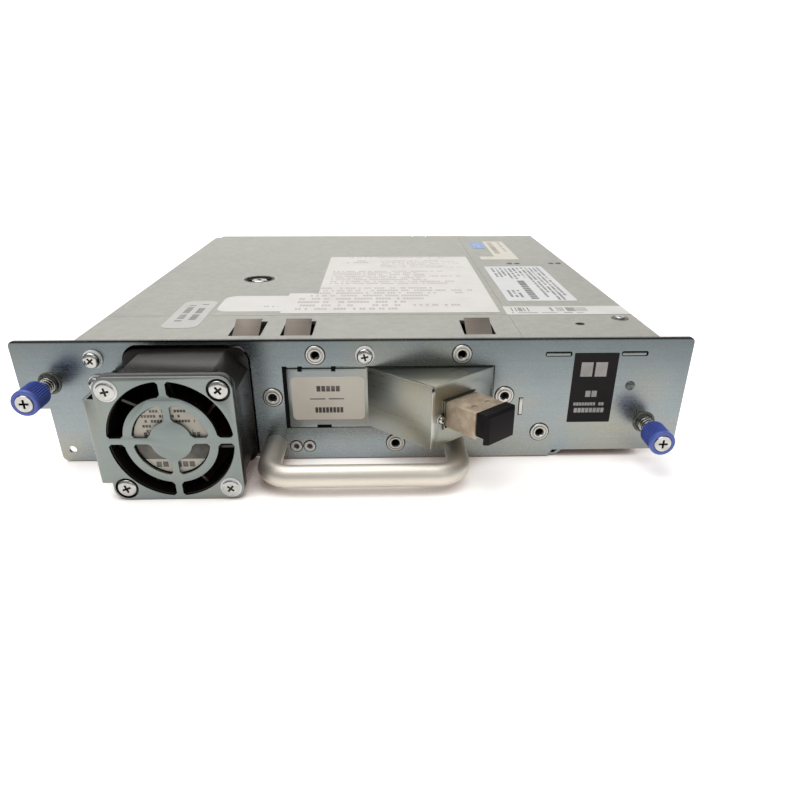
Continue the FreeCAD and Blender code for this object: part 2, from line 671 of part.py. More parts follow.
def port_wall():
    """Right wall of the wedge, folded over into its lid and floor."""
    root, left_along, inward = left_frame()
    along, out = wall_frame()
    step = (SHEET + LAP) / inward.dot(along)
    first = APEX + along * step
    last = V(PORT_X1 - 0.45, 0, 0)
    back_y = LIP_Y - LAP
    left = root + inward * (SHEET + LAP)
    wall = along_z([(first.x, first.y), (last.x, last.y), (last.x, back_y), (last.x - 1.1, back_y),
                    (last.x - 1.1, last.y + 0.5),
                    (first.x - out.x * SHEET, first.y - out.y * SHEET)],
                   WEDGE_Z0, WEDGE_Z1)
    lid = [(first.x, first.y), (last.x, last.y), (last.x, back_y), (left.x + 0.2, back_y),
           (left.x + 0.2, left.y)]
    shape = fuse([wall, along_z(lid, WEDGE_Z1 - SHEET, WEDGE_Z1), along_z(lid, WEDGE_Z0, WEDGE_Z0 + SHEET)])
    far = left - left_along * 20
    near = left + left_along * 60
    beyond = along_z([(far.x, far.y), (near.x, near.y),
                      (near.x - inward.x * 30, near.y - inward.y * 30),
                      (far.x - inward.x * 30, far.y - inward.y * 30)], 0, 60)
    half_w = SFP_W / 2 + CAGE_T + 0.35
    half_h = SFP_H / 2 + CAGE_T + 0.35
    mouth = box(-half_w, half_w, -3, 6, -half_h, half_h)
    mouth.rotate(V(0, 0, 0), UP, math.degrees(math.atan2(along.y, along.x)))
    mouth.translate(APEX + along * SFP_FROM_APEX + UP * SFP_Z)
    keep("port_wall", shape.cut([beyond, mouth]).removeSplitter())


# ---- transceiver ---------------------------------------------------------------------------------
def transceiver_cage():
    """Sheet sleeve round the module, with a tab against the back of the wedge's wall."""
    half_w = SFP_W / 2 + SLIDE_GAP
    half_h = SFP_H / 2 + SLIDE_GAP
    outer = box(-half_w - CAGE_T, half_w + CAGE_T, -0.6, SFP_IN + 1.6, -half_h - CAGE_T, half_h + CAGE_T)
    inner = box(-half_w, half_w, -2, SFP_IN + 1.2, -half_h, half_h)
    tab = box(-half_w - CAGE_TAB, -half_w - CAGE_T / 2, SHEET + LAP, SHEET + LAP + 0.5, -3.0, 1.6)
    on_wall("transceiver_cage", fuse([outer.cut(inner), tab]), SFP_Z)
    board = box(-9.0, 9.0, SHEET + 1.6, SFP_IN + 4, -BOARD_T, -0.02)
    on_wall("fibre_board", board, SFP_Z - half_h - CAGE_T)


def transceiver():
    """Pluggable optical module: bevelled nose with two sockets, and its edge contacts inside."""
    half_w = SFP_W / 2 + 0.1
    half_h = SFP_H / 2 + 0.4
    nose = along_y(bevelled(-half_w, half_w, -half_h, half_h, SFP_EDGE), -SFP_OUT, -0.9)
    body = box(-SFP_W / 2, SFP_W / 2, -1.5, SFP_IN, -SFP_H / 2, SFP_H / 2)
    module = fuse([nose, body])
    cutters = []
    for side in (-1, 1):
        x = side * PORT_PITCH / 2
        cutters.append(box(x - SOCKET_W / 2, x + SOCKET_W / 2, -SFP_OUT - CUT, -SFP_OUT + SOCKET_D,
                           -SOCKET_H / 2, SOCKET_H / 2))
        cutters.append(box(x - 0.9, x + 0.9, -SFP_OUT + 3.2, -SFP_OUT + 4.6, half_h - 0.35, half_h + CUT))
        cutters.append(box(-4.0, 4.0, SFP_IN - 5, SFP_IN + CUT, *spread(side * 0.6, side * SFP_H)))
    on_wall("transceiver", module.cut(cutters), SFP_Z)


def dust_plug():
    """Cap in front of the two sockets, with a finger lip below and a prong in each socket."""
    back = -SFP_OUT - 0.3
    front = back - PLUG_T
    top = SFP_H / 2 + 0.75
    low = top - PLUG_H
    lip = low - PLUG_LIP + 1.2
    cap = along_x([(front, lip), (front + 1.6, lip), (front + 1.6, low + 1.0), (back, low + 1.0),
                   (back, top - 0.3), (back - 0.3, top), (front + 0.8, top), (front, top - 0.8)],
                  -PLUG_W / 2, PLUG_W / 2)
    bevels = [along_z([(side * PLUG_W / 2, front - CUT), (side * PLUG_W / 2, front + 0.9),
                       (side * (PLUG_W / 2 - 0.9), front), (side * (PLUG_W / 2 - 0.9), front - CUT)],
                      low - 4, top + CUT) for side in (-1, 1)]
    pieces = [cap.cut(bevels)]
    for side in (-1, 1):
        x = side * PORT_PITCH / 2
        half = SOCKET_W / 2 - PLUG_FIT
        pieces.append(box(x - half, x + half, back - 0.5, -SFP_OUT + SOCKET_D - 1.0,
                          -SOCKET_H / 2 + PLUG_FIT, SOCKET_H / 2 - PLUG_FIT))
    on_wall("dust_plug", fuse(pieces), SFP_Z)


# ---- handle --------------------------------------------------------------------------------------
def handle():
    """Round bar bent twice: two legs on the panel and a grip parallel to it."""
    path = [V(GRIP_LEFT, 0, GRIP_Z)]
    for x, side in ((GRIP_LEFT, -1), (GRIP_RIGHT, 1)):
        centre = V(x - side * GRIP_BEND, GRIP_BEND - GRIP_REACH, GRIP_Z)
        turns = range(GRIP_STEPS + 1) if side < 0 else range(GRIP_STEPS, -1, -1)
        for i in turns:
            a = math.pi / 2 * i / GRIP_STEPS
            path.append(centre + V(side * math.cos(a), -math.sin(a), 0) * GRIP_BEND)
    path.append(V(GRIP_RIGHT, 0, GRIP_Z))
    section = Part.Wire(Part.makeCircle(GRIP_R, path[0], V(0, 1, 0)))
    mitred = 1
    keep("handle", Part.makePolygon(path).makePipeShell([section], True, False, mitred))


# ---- captive thumbscrews -------------------------------------------------------------------------
def spring_coil(x, z, y0, y1):
    """Square wire wound round the screw, in straight lengths of an eighth of a turn."""
    steps = 8
    half = SPRING_WIRE / 2
    inner = SPRING_R - half
    outer = SPRING_R + half
    rise = (y1 - y0 - SPRING_WIRE) / (SPRING_TURNS * steps)
    sections = []
    for i in range(SPRING_TURNS * steps + 1):
        a = 2 * math.pi * i / steps
        y = y0 + half + rise * i
        c = math.cos(a)
        s = math.sin(a)
        ring = [(inner, -half), (outer, -half), (outer, half), (inner, half), (inner, -half)]
        sections.append(Part.makePolygon([V(x + r * c, y + dy, z + r * s) for r, dy in ring]))
    return Part.makeLoft(sections, True, True)


def thumbscrew(side):
    """Turned knob on a headed screw; a spring on the panel pushes the knob out."""
    x, z = thumb_place(side)
    front = -KNOB_FRONT
    back = front + KNOB_LEN
    keep(side + "_knob", tube(KNOB_R, THUMB_R, x, front, z, KNOB_LEN))
    insert = rod(INSERT_R, x, front - INSERT_T, z, INSERT_T)
    shank = rod(THUMB_R, x, front, z, KNOB_FRONT + THUMB_TAIL)
    keep(side + "_screw", fuse([insert, shank]))
    keep(side + "_spring", spring_coil(x, z, back + LAP, -LAP))


# ---- drive mechanism -----------------------------------------------------------------------------
def foot_places():
    return [(DRIVE_X + s * FOOT_HALF, DRIVE_END - row) for s in (-1, 1) for row in FOOT_ROWS]


def drive_base():
    """Casting with a floor between an upper and a lower hollow, mounting pads, rails and a boss."""
    x0 = DRIVE_LEFT
    x1 = DRIVE_RIGHT
    block = box(x0, x1, DRIVE_START, DRIVE_END, SHEET + LAP, CAST_TOP)
    upper = box(x0 + CAST_WALL, x1 - CAST_WALL, DRIVE_START + CAST_WALL, DRIVE_END + CUT,
                FLOOR_TOP, CAST_TOP + CUT)
    lower = box(x0 + CAST_WALL, x1 - CAST_WALL, DRIVE_START - CUT, DRIVE_END - 4, 0, CAST_FLOOR_Z)
    relief = box(PORT_X0 - 6, PORT_X1 + 4, DRIVE_START - CUT, DRIVE_START + CAST_WALL + CUT,
                 18, CAST_TOP + CUT)
    bx0, bx1, bz0, bz1 = centred(BUTTON, 1.6)
    pocket = box(bx0, bx1, DRIVE_END - 4 - CUT, DRIVE_END + CUT, bz0, bz1 + 0.6)
    pieces = [block.cut([upper, lower, relief, pocket])]
    pieces.append(rod(BOSS_R, BOSS_X, BOSS_Y, FLOOR_TOP - 0.2, CAST_TOP - FLOOR_TOP + 0.2, UP))
    for x, y in foot_places():
        pieces.append(box(x - FOOT_PAD, x + FOOT_PAD, y - FOOT_PAD, y + FOOT_PAD, SHEET + LAP,
                          CAST_FLOOR_Z + 0.2))
    ledge_y = TRAY_Y0 - 10
    for side in (-1, 1):
        ledge = spread(DRIVE_X + side * (RAIL_HALF + 0.4), DRIVE_X + side * (DRIVE_W / 2 - CAST_WALL + 0.2))
        pieces.append(box(*ledge, ledge_y - 16, DRIVE_END - 0.2, FLOOR_TOP - 0.2, FRAME_Z0 - LAP))
        guide = spread(DRIVE_X + side * (RAIL_HALF + 2.1), DRIVE_X + side * (RAIL_HALF + 3.7))
        pieces.append(box(*guide, ledge_y - 16, DRIVE_END - 10, FRAME_Z0 - 0.5, 30))
    keep("drive_base", fuse(pieces))


def circuit_board(x0, x1, y0, y1, z, blocks):
    """A board with its larger components: middle x, middle y, width, depth and height of each."""
    pieces = [box(x0, x1, y0, y1, z, z + BOARD_T)]
    for cx, cy, w, d, h in blocks:
        pieces.append(box(cx - w / 2, cx + w / 2, cy - d / 2, cy + d / 2, z + BOARD_T, z + BOARD_T + h))
    return fuse(pieces)


def boards():
    margin = CAST_WALL + 8.5
    start = DRIVE_START + 3
    chips = [(DRIVE_X - 34, start + 46, 16, 16, 1.4), (DRIVE_X + 6, start + 86, 20, 20, 1.6),
             (DRIVE_X + 36, start + 36, 12, 12, 1.2), (DRIVE_X - 40, start + 116, 10, 14, 1.2)]
    keep("drive_board", circuit_board(DRIVE_LEFT + margin, DRIVE_RIGHT - margin, start, DRIVE_END - 12,
                                      CAST_FLOOR_Z - BOARD_T - 2.2, chips))
    x0 = DRIVE_RIGHT + 1.6
    x1 = SLED_RIGHT - SHEET - 1.2
    low = BAY_FLOOR + SHEET
    z = low + BOARD_LIFT
    blocks = [(x1 - 24, 70, 14, 14, 1.6), (x1 - 13, 100, 12, 12, 1.6), (x1 - 27, 130, 10, 18, 1.4),
              (x1 - 29, 44, 12, 6, 7.0), (x1 - 11, 44, 14, 6, 7.0)]
    board = circuit_board(x0, x1, 34, TRAY_END - 6.5, z, blocks)
    legs = [box(x - 2, x + 2, y - 2, y + 2, low, z) for x in (x0 + 15, x1 - 3.5) for y in (38, 118, 176)]
    keep("interface_board", fuse([board] + legs))
    dx0, dx1, dz0, dz1 = centred(DOCK)
    shell = along_y(bevelled(dx0, dx1, dz0, dz1, 1.0), TRAY_END + DOCK_REACH - DOCK_LEN,
                    TRAY_END + DOCK_REACH)
    well = box(dx0 + DOCK_WALL, dx1 - DOCK_WALL, TRAY_END - 4, TRAY_END + DOCK_REACH + CUT,
               dz0 + DOCK_WALL, dz1 - DOCK_WALL)
    blade = box(dx0 + 3, dx1 - 3, TRAY_END - 4.2, TRAY_END + DOCK_REACH - 1, DOCK[1] - 0.8, DOCK[1] + 0.8)
    leg = box(dx0 + 2, dx1 - 2, TRAY_END - 15, TRAY_END - 9, z + BOARD_T, dz0 + 0.2)
    keep("dock_connector", fuse([shell.cut(well), blade, leg]))


def drive_bezel():
    """Moulded face round the cartridge mouth, flared towards the hand."""
    y0 = BEZEL_Y
    y1 = BEZEL_Y + BEZEL_T
    face = box(DRIVE_LEFT, DRIVE_RIGHT, y0, y1, SHEET + 0.2, COVER_Z - 0.2)
    front = [e for e in face.Edges if abs(e.CenterOfMass.y - y1) < 0.01]
    face = face.makeChamfer(0.6, front)
    mx0 = DRIVE_X - MOUTH_HALF
    mx1 = DRIVE_X + MOUTH_HALF
    low = MOUTH_Z - 0.2
    top = MOUTH_TOP + DOOR_ROOM
    loops = []
    for y, flare in ((y1 - 2.4, 0.0), (y1 + 0.1, FUNNEL)):
        loops.append(Part.makePolygon([
            V(mx0 - flare, y, low - flare), V(mx1 + flare, y, low - flare),
            V(mx1 + flare, y, top - 0.9), V(mx0 - flare, y, top - 0.9), V(mx0 - flare, y, low - flare)]))
    cutters = [box(mx0, mx1, y0 - CUT, y1 + CUT, low, top), Part.makeLoft(loops, True, True)]
    for x in (mx0 - 2.4, mx1 - CUT):
        cutters.append(rod(DOOR_PIN_R + RUN, x, DOOR_Y, DOOR_Z, 2.4 + CUT, RIGHTWARD))
    bx0, bx1, bz0, bz1 = centred(BUTTON, 0.3)
    cutters.append(box(bx0, bx1, y0 - CUT, y1 + CUT, bz0, bz1))
    wx0, wx1, wz0, wz1 = centred(WINDOW, 0.1)
    cutters.append(box(wx0, wx1, y1 - 1.4, y1 + CUT, wz0, wz1))
    for i in range(5):
        x = DRIVE_X - 14.5 + i * 7
        cutters.append(box(x, x + 5, y0 - CUT, y1 + CUT, BUTTON[1] - 0.7, BUTTON[1] + 0.7))
    keep("drive_bezel", face.cut(cutters).removeSplitter())
    wx0, wx1, wz0, wz1 = centred(WINDOW)
    keep("status_window", box(wx0, wx1, y1 - 1.35, y1 - 0.1, wz0, wz1))


def cartridge_door():
    """Flap that the cartridge pushes inward, hung from a pin at its top edge."""
    half = MOUTH_HALF - 0.35
    y0 = DOOR_Y - DOOR_SWING_R
    y1 = DOOR_Y + DOOR_SWING_R
    top = DOOR_Z + DOOR_SWING_R
    c = DOOR_SWING_R * 0.55
    flap = along_x([(y0, DOOR_Z - c), (y0, top - c), (y0 + c, top), (y1 - c, top), (y1, top - c),
                    (y1, MOUTH_Z + 0.8), (y1 - 0.3, MOUTH_Z + 0.5), (y1 - DOOR_T, MOUTH_Z + 0.5),
                    (y1 - DOOR_T, DOOR_Z - 1.2)], DRIVE_X - half, DRIVE_X + half)
    pin = rod(DOOR_PIN_R, DRIVE_X - MOUTH_HALF - 2.0, DOOR_Y, DOOR_Z, 2 * MOUTH_HALF + 4.0, RIGHTWARD)
    keep("cartridge_door", fuse([flap, pin]))


def eject_button():
    bx0, bx1, bz0, bz1 = centred(BUTTON)
    cap = box(bx0, bx1, BEZEL_Y - 1.2, BEZEL_Y + BEZEL_T + BUTTON_PROUD, bz0, bz1)
    front = [e for e in cap.Edges if abs(e.CenterOfMass.y - BEZEL_Y - BEZEL_T - BUTTON_PROUD) < 0.01]
    collar = box(bx0 - 1.2, bx1 + 1.2, BEZEL_Y - 1.9, BEZEL_Y - 0.9, bz0, bz1)
    keep("eject_button", fuse([cap.makeChamfer(0.4, front), collar]))


def lug_rows():
    return (TRAY_Y0 + 8, TRAY_Y1 - 12)


def loader_frame():
    """Two side plates and a bridge, sliding on the casting's ledges; slots guide the tray's lugs."""
    y0 = TRAY_Y0 - 10
    pieces = []
    slots = []
    for side in (-1, 1):
        inner, outer = spread(DRIVE_X + side * (RAIL_HALF + 0.5), DRIVE_X + side * (RAIL_HALF + 1.7))
        pieces.append(box(inner, outer, y0, TRAY_Y1 - 3, FRAME_Z0, FRAME_Z1))
        for y in lug_rows():
            slots.append(box(inner - CUT, outer + CUT, y - LUG_LEN / 2 - RUN, y + LUG_LEN / 2 + RUN,
                             LUG_Z - CART_DROP - 1.3, LUG_Z + 1.3))
    reach = RAIL_HALF + 1.7
    pieces.append(box(DRIVE_X - reach, DRIVE_X + reach, y0, y0 + 9, FRAME_Z1 - FRAME_T, FRAME_Z1))
    keep("loader_frame", fuse(pieces).cut(slots))


def cartridge_tray():
    """Open channel that carries the cartridge, with a keyhole over the spindle and four lugs."""
    inner = MOUTH_HALF - 0.2
    outer = inner + 1.0
    z0 = TRAY_Z
    z1 = TRAY_Z + TRAY_T
    tray = along_y([(DRIVE_X - outer, z0), (DRIVE_X + outer, z0), (DRIVE_X + outer, TRAY_TOP),
                    (DRIVE_X + inner, TRAY_TOP), (DRIVE_X + inner, z1), (DRIVE_X - inner, z1),
                    (DRIVE_X - inner, TRAY_TOP), (DRIVE_X - outer, TRAY_TOP)], TRAY_Y0, TRAY_Y1)
    reach = SPINDLE_Y + 16 + 27
    keyhole = along_z([(DRIVE_X - 27, TRAY_Y0 - CUT), (DRIVE_X + 27, TRAY_Y0 - CUT),
                       (DRIVE_X + 27, reach - 12), (DRIVE_X + 15, reach),
                       (DRIVE_X - 15, reach), (DRIVE_X - 27, reach - 12)], z0 - CUT, z1 + CUT)
    pieces = [tray.cut(keyhole)]
    for side in (-1, 1):
        stop = spread(DRIVE_X + side * inner, DRIVE_X + side * (inner - 9))
        pieces.append(box(*stop, TRAY_Y0, TRAY_Y0 + TRAY_T, z1, LUG_Z))
        for y in lug_rows():
            lug = spread(DRIVE_X + side * outer, DRIVE_X + side * (RAIL_HALF + 1.6))
            pieces.append(box(*lug, y - LUG_LEN / 2, y + LUG_LEN / 2, LUG_Z - 1.2, LUG_Z + 1.2))
    keep("cartridge_tray", fuse(pieces))


def reel_drive():
    """Motor under the cartridge, with the toothed clutch that drives the cartridge's reel."""
    can = rod(19.0, DRIVE_X, SPINDLE_Y, FLOOR_TOP, 2.0, UP)
    post = rod(POST_R, DRIVE_X, SPINDLE_Y, FLOOR_TOP + 2.0, 1.6, UP)
    keep("reel_motor", fuse([can, post]))
    face = rod(17.5, DRIVE_X, SPINDLE_Y, FLOOR_TOP + 2.2, 1.0, UP)
    crown = []
    for i in range(CLUTCH_TEETH):
        tooth = along_z([(CLUTCH_R - 3.6, -1.5), (CLUTCH_R, -1.9), (CLUTCH_R, 1.9), (CLUTCH_R - 3.6, 1.5)],
                        FLOOR_TOP + 3.2, FLOOR_TOP + 4.2)
        tooth.rotate(V(0, 0, 0), UP, 360.0 * i / CLUTCH_TEETH)
        tooth.translate(V(DRIVE_X, SPINDLE_Y, 0))
        crown.append(tooth)
    bore = rod(POST_R + RUN, DRIVE_X, SPINDLE_Y, FLOOR_TOP, 9, UP)
    keep("drive_hub", fuse([face] + crown).cut(bore))


# ---- build ---------------------------------------------------------------------------------------
def build():
    connector_panel()
    sled_tray()
    top_strip()
    spring_clips()
    drive_cover()
    bay_cover()
    fan_housing()
    fan_impeller()
    finger_guard()
    port_bracket()
    port_wall()
    transceiver_cage()
    transceiver()
    dust_plug()
    handle()
    for side in THUMBS:
        thumbscrew(side)
    drive_base()
    boards()
    drive_bezel()
    cartridge_door()
    eject_button()
    loader_frame()
    cartridge_tray()
    reel_drive()


def export():
    """Writes each piece, moved so that the origin is halfway between the front and the back."""
    os.makedirs("parts", exist_ok=True)
    whole = Part.makeCompound(list(PARTS.values())).BoundBox
    middle = (whole.YMin + whole.YMax) / 2
    for name, shape in PARTS.items():
        placed = shape.copy()
        placed.translate(V(0, -middle, 0))
        placed.exportStep("parts/" + name + ".step")


build()
export()
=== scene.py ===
import json
import math

import bmesh
import bpy
from mathutils import Matrix, Vector

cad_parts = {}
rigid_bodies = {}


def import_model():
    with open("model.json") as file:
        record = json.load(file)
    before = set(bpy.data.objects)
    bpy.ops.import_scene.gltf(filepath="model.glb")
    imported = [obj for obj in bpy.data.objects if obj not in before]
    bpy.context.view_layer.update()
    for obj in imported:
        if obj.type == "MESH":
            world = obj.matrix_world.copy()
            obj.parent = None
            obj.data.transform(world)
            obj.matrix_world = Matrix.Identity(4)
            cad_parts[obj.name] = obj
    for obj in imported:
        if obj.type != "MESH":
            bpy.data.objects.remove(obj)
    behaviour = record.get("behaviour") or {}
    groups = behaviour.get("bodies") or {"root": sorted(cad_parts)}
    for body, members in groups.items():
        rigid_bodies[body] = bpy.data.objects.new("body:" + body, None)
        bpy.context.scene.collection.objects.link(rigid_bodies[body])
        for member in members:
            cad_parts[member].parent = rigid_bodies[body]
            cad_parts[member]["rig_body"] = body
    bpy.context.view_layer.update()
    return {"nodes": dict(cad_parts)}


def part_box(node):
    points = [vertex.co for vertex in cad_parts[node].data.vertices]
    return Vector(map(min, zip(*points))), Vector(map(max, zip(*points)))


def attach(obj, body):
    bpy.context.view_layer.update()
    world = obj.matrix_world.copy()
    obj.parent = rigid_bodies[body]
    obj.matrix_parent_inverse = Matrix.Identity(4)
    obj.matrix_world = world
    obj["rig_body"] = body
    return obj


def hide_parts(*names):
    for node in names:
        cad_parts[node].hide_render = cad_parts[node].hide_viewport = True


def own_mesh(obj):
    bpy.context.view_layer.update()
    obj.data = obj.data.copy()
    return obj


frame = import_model()


# ==== Camera ================================================================================
# It stands in front of the connector panel and above it, and looks down over the top cover.
# The lens is short for the distance, so the near edges spread and the covers narrow away.
MM = 0.001
camera_down = math.radians(28.0)
camera_right = math.radians(1.74)
camera_roll = math.radians(-0.16)
forward = Vector((math.sin(camera_right) * math.cos(camera_down),
                  math.cos(camera_right) * math.cos(camera_down), -math.sin(camera_down)))
level = Vector((math.cos(camera_right), -math.sin(camera_right), 0))
across = Matrix.Rotation(camera_roll, 3, forward) @ level
camera_data = bpy.data.cameras.new("camera")
camera_data.sensor_width = 36.0
camera_data.lens = 29.456
camera_data.shift_x = -0.00244
camera_data.shift_y = 0.0844
camera_data.clip_start = 0.01
camera = bpy.data.objects.new("camera", camera_data)
turned = Matrix((across, across.cross(forward), -forward)).transposed().to_4x4()
panel_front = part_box("connector_panel")[0].y
camera_place = Vector((8.63 * MM, panel_front - 204.56 * MM, 104.99 * MM))
camera.matrix_world = Matrix.Translation(camera_place) @ turned
bpy.context.scene.collection.objects.link(camera)
bpy.context.scene.camera = camera
bpy.context.scene.view_settings.view_transform = "Standard"


# ==== Table and light =======================================================================
# A white sheet of card lies under the drive and curves up behind it.
# Two wide soft boxes and a pale room light it, as for a product on a plain ground.
def linear(code):
    """A colour written as an sRGB hex code, as linear light."""
    parts = [int(code[i:i + 2], 16) / 255 for i in (1, 3, 5)]
    return [c / 12.92 if c <= 0.04045 else ((c + 0.055) / 1.055) ** 2.4 for c in parts] + [1.0]


def add(tree, kind, settings=None, links=None):
    """Adds a shader node, gives it its settings and joins its inputs to these outputs."""
    node = tree.nodes.new("ShaderNode" + kind)
    for key, value in (settings or {}).items():
        if key == "stops":
            stops = node.color_ramp.elements
            for spot in value[1:-1]:
                stops.new(spot[0])
            for stop, (spot, code) in zip(stops, value):
                stop.position = spot
                stop.color = linear(code)
        elif isinstance(key, str) and hasattr(node, key):
            setattr(node, key, value)
        else:
            node.inputs[key].default_value = value
    for key, output in (links or {}).items():
        tree.links.new(output, node.inputs[key])
    return node


def coat(name, metallic, roughness, ior=1.5, gloss=0.5):
    """A new material with its node tree, its shader and the place on the piece in metres."""
    material = bpy.data.materials.new(name)
    material.use_nodes = True
    tree = material.node_tree
    shader = tree.nodes["Principled BSDF"]
    shader.inputs["Metallic"].default_value = metallic
    shader.inputs["Roughness"].default_value = roughness
    shader.inputs["IOR"].default_value = ior
    shader.inputs["Specular IOR Level"].default_value = gloss
    return material, tree, shader, add(tree, "TexCoord").outputs["Object"]


def join(tree, shader, **outputs):
    """Joins outputs to the shader's sockets, named with _ for a space."""
    for socket, output in outputs.items():
        tree.links.new(output, shader.inputs[socket.replace("_", " ")])


def clear():
    """Back to object mode with nothing selected."""
    if bpy.context.mode != "OBJECT":
        bpy.ops.object.mode_set(mode="OBJECT")
    bpy.ops.object.select_all(action="DESELECT")


def pick(kind, test):
    """In edit mode, selects only the vertices, edges or faces that pass the test."""
    bpy.ops.mesh.select_mode(type={"verts": "VERT", "edges": "EDGE", "faces": "FACE"}[kind])
    bpy.ops.mesh.select_all(action="DESELECT")
    data = bpy.context.edit_object.data
    mesh = bmesh.from_edit_mesh(data)
    for item in getattr(mesh, kind):
        if test(item):
            item.select_set(True)
    mesh.select_flush_mode()
    bmesh.update_edit_mesh(data)


# white card: quite matt, with a tooth of about a millimetre that only just shows
card, tree, shader, place = coat("white_card", 0.0, 0.9)
tooth = add(tree, "TexNoise", {"Scale": 900.0, "Detail": 2.0}, {"Vector": place})
shade = add(tree, "ValToRGB", {"stops": [(0.3, "#F1F0EF"), (0.7, "#F6F5F4")]},
            {"Fac": tooth.outputs["Fac"]})
# the card glows a little, as if lit from all round, and a painted shadow darkens its glow and
# colour to a warm brown close under the drive
near = add(tree, "AmbientOcclusion", {"Distance": 0.014, "samples": 8})
glow_and_painted_shadow = add(tree, "ValToRGB", {"stops": [(0.12, "#5A4A44"), (0.36, "#C9BDB6"), (0.6, "#FFFDFB")]},
                 {"Fac": near.outputs["AO"]})
both = add(tree, "Mix", {"data_type": "RGBA", "blend_type": "MULTIPLY", 0: 1.0},
           {6: shade.outputs["Color"], 7: glow_and_painted_shadow.outputs["Color"]})
join(tree, shader, Base_Color=both.outputs[2], Emission_Color=glow_and_painted_shadow.outputs["Color"])
shader.inputs["Emission Strength"].default_value = 0.5

clear()
card_side = 3.0
card_rise = 1.6
card_end = card_side / 2 - 0.1
bpy.ops.mesh.primitive_plane_add(size=card_side, location=(0, 0.1, 0))
ground = bpy.context.object
ground.name = "table_card"
bpy.ops.object.mode_set(mode="EDIT")
pick("edges", lambda e: min(v.co.y for v in e.verts) > card_end)
bpy.ops.mesh.extrude_region_move(TRANSFORM_OT_translate={"value": (0, 0, card_rise)})
pick("edges", lambda e: min(v.co.y for v in e.verts) > card_end and max(v.co.z for v in e.verts) < 0.01)
bpy.ops.mesh.bevel(offset=0.7, segments=16)
bpy.ops.object.mode_set(mode="OBJECT")
bpy.ops.object.shade_smooth()
bpy.ops.object.transform_apply(location=True)
ground.data.materials.append(card)

world = bpy.data.worlds.new("room")
bpy.context.scene.world = world
world.use_nodes = True
sky = world.node_tree.nodes["Background"]
sky.inputs["Color"].default_value = linear("#F2F3F5")
sky.inputs["Strength"].default_value = 0.34

for name, at, size, power in (("box_above", (-0.25, 0.1, 1.1), (1.3, 1.0), 13.0),
                              ("box_front", (0.5, -1.1, 0.9), (0.9, 0.7), 2.0)):
    light = bpy.data.lights.new(name, "AREA")
    light.shape = "RECTANGLE"
    light.size, light.size_y = size
    light.energy = power
    lamp = bpy.data.objects.new(name, light)
    lamp.location = at
    lamp.rotation_mode = "QUATERNION"
    lamp.rotation_quaternion = (Vector(at) - Vector((0, 0, 0.02))).to_track_quat("Z", "Y")
    bpy.context.scene.collection.objects.link(lamp)


# ==== Sled tray =============================================================================
# One folded sheet of steel 1 mm thick, zinc plated after punching, with its walls turned in at
# the top. The plating is bluish and cloudy, with the rolled grain of the sheet faint in it.
def dress(material, *nodes):
    """Gives CAD nodes this coat."""
    for node in nodes:
        for slot in frame["nodes"][node].material_slots:
            slot.material = material


def plated(name, dark, middle, light, roughness, painted_shade_top=None):
    """Zinc plated sheet: clouds a few centimetres wide over fine rolled grain. A height in metres,
    given last, darkens it upwards with painted shade and paints it near black above that height."""
    material, tree, shader, place = coat(name, 1.0, roughness)
    cloud = add(tree, "TexNoise", {"Scale": 26.0, "Detail": 4.0, "Roughness": 0.5}, {"Vector": place})
    tint = add(tree, "ValToRGB", {"stops": [(0.3, dark), (0.52, middle), (0.74, light)]},
               {"Fac": cloud.outputs["Fac"]})
    # rolled grain: lines about 0.4 mm apart, a hundred times as long, drawn coarser than life
    along = add(tree, "Mapping", {"Scale": (25.0, 25.0, 2400.0)}, {"Vector": place})
    grain = add(tree, "TexNoise", {"Scale": 1.0, "Detail": 2.0}, {"Vector": along.outputs["Vector"]})
    mixed = add(tree, "Mix", {"data_type": "RGBA", "blend_type": "SOFT_LIGHT", 0: 0.13},
                {6: tint.outputs["Color"], 7: grain.outputs["Color"]})
    # crystals of the plating, about a millimetre across
    crystal = add(tree, "TexNoise", {"Scale": 1100.0, "Detail": 3.0}, {"Vector": place})
    both = add(tree, "Math", {"operation": "ADD"}, {0: crystal.outputs["Fac"], 1: grain.outputs["Fac"]})
    rough = add(tree, "MapRange", {"From Min": 0.6, "From Max": 1.4, "To Min": roughness - 0.04,
                                   "To Max": roughness + 0.06}, {"Value": both.outputs["Value"]})
    bump = add(tree, "Bump", {"Strength": 0.01, "Distance": 0.1 * MM}, {"Height": crystal.outputs["Fac"]})
    colour = mixed.outputs[2]
    if painted_shade_top:
        # painted shade: the colour darkens upwards, and above the given height it is painted near black
        up = add(tree, "SeparateXYZ", None, {"Vector": place})
        shade_ramp = add(tree, "MapRange", {"From Min": 6.0 * MM, "From Max": painted_shade_top, "To Max": 0.9},
                   {"Value": up.outputs["Z"]})
        painted_top_shade = add(tree, "ValToRGB", {"stops": [(0.0, "#FFFFFF"), (0.45, "#F0F2F2"), (0.88, "#C0C4C6"),
                                                  (0.895, "#1E1E1E")]},
                     {"Fac": shade_ramp.outputs["Result"]})
        colour = add(tree, "Mix", {"data_type": "RGBA", "blend_type": "MULTIPLY", 0: 1.0},
                     {6: colour, 7: painted_top_shade.outputs["Color"]}).outputs[2]
    join(tree, shader, Base_Color=colour, Roughness=rough.outputs["Result"],
         Normal=bump.outputs["Normal"])
    return material


zinc = plated("zinc_plated_steel", "#828A8A", "#8E9493", "#999789", 0.3)
dress(zinc, "sled_tray", "transceiver_cage")


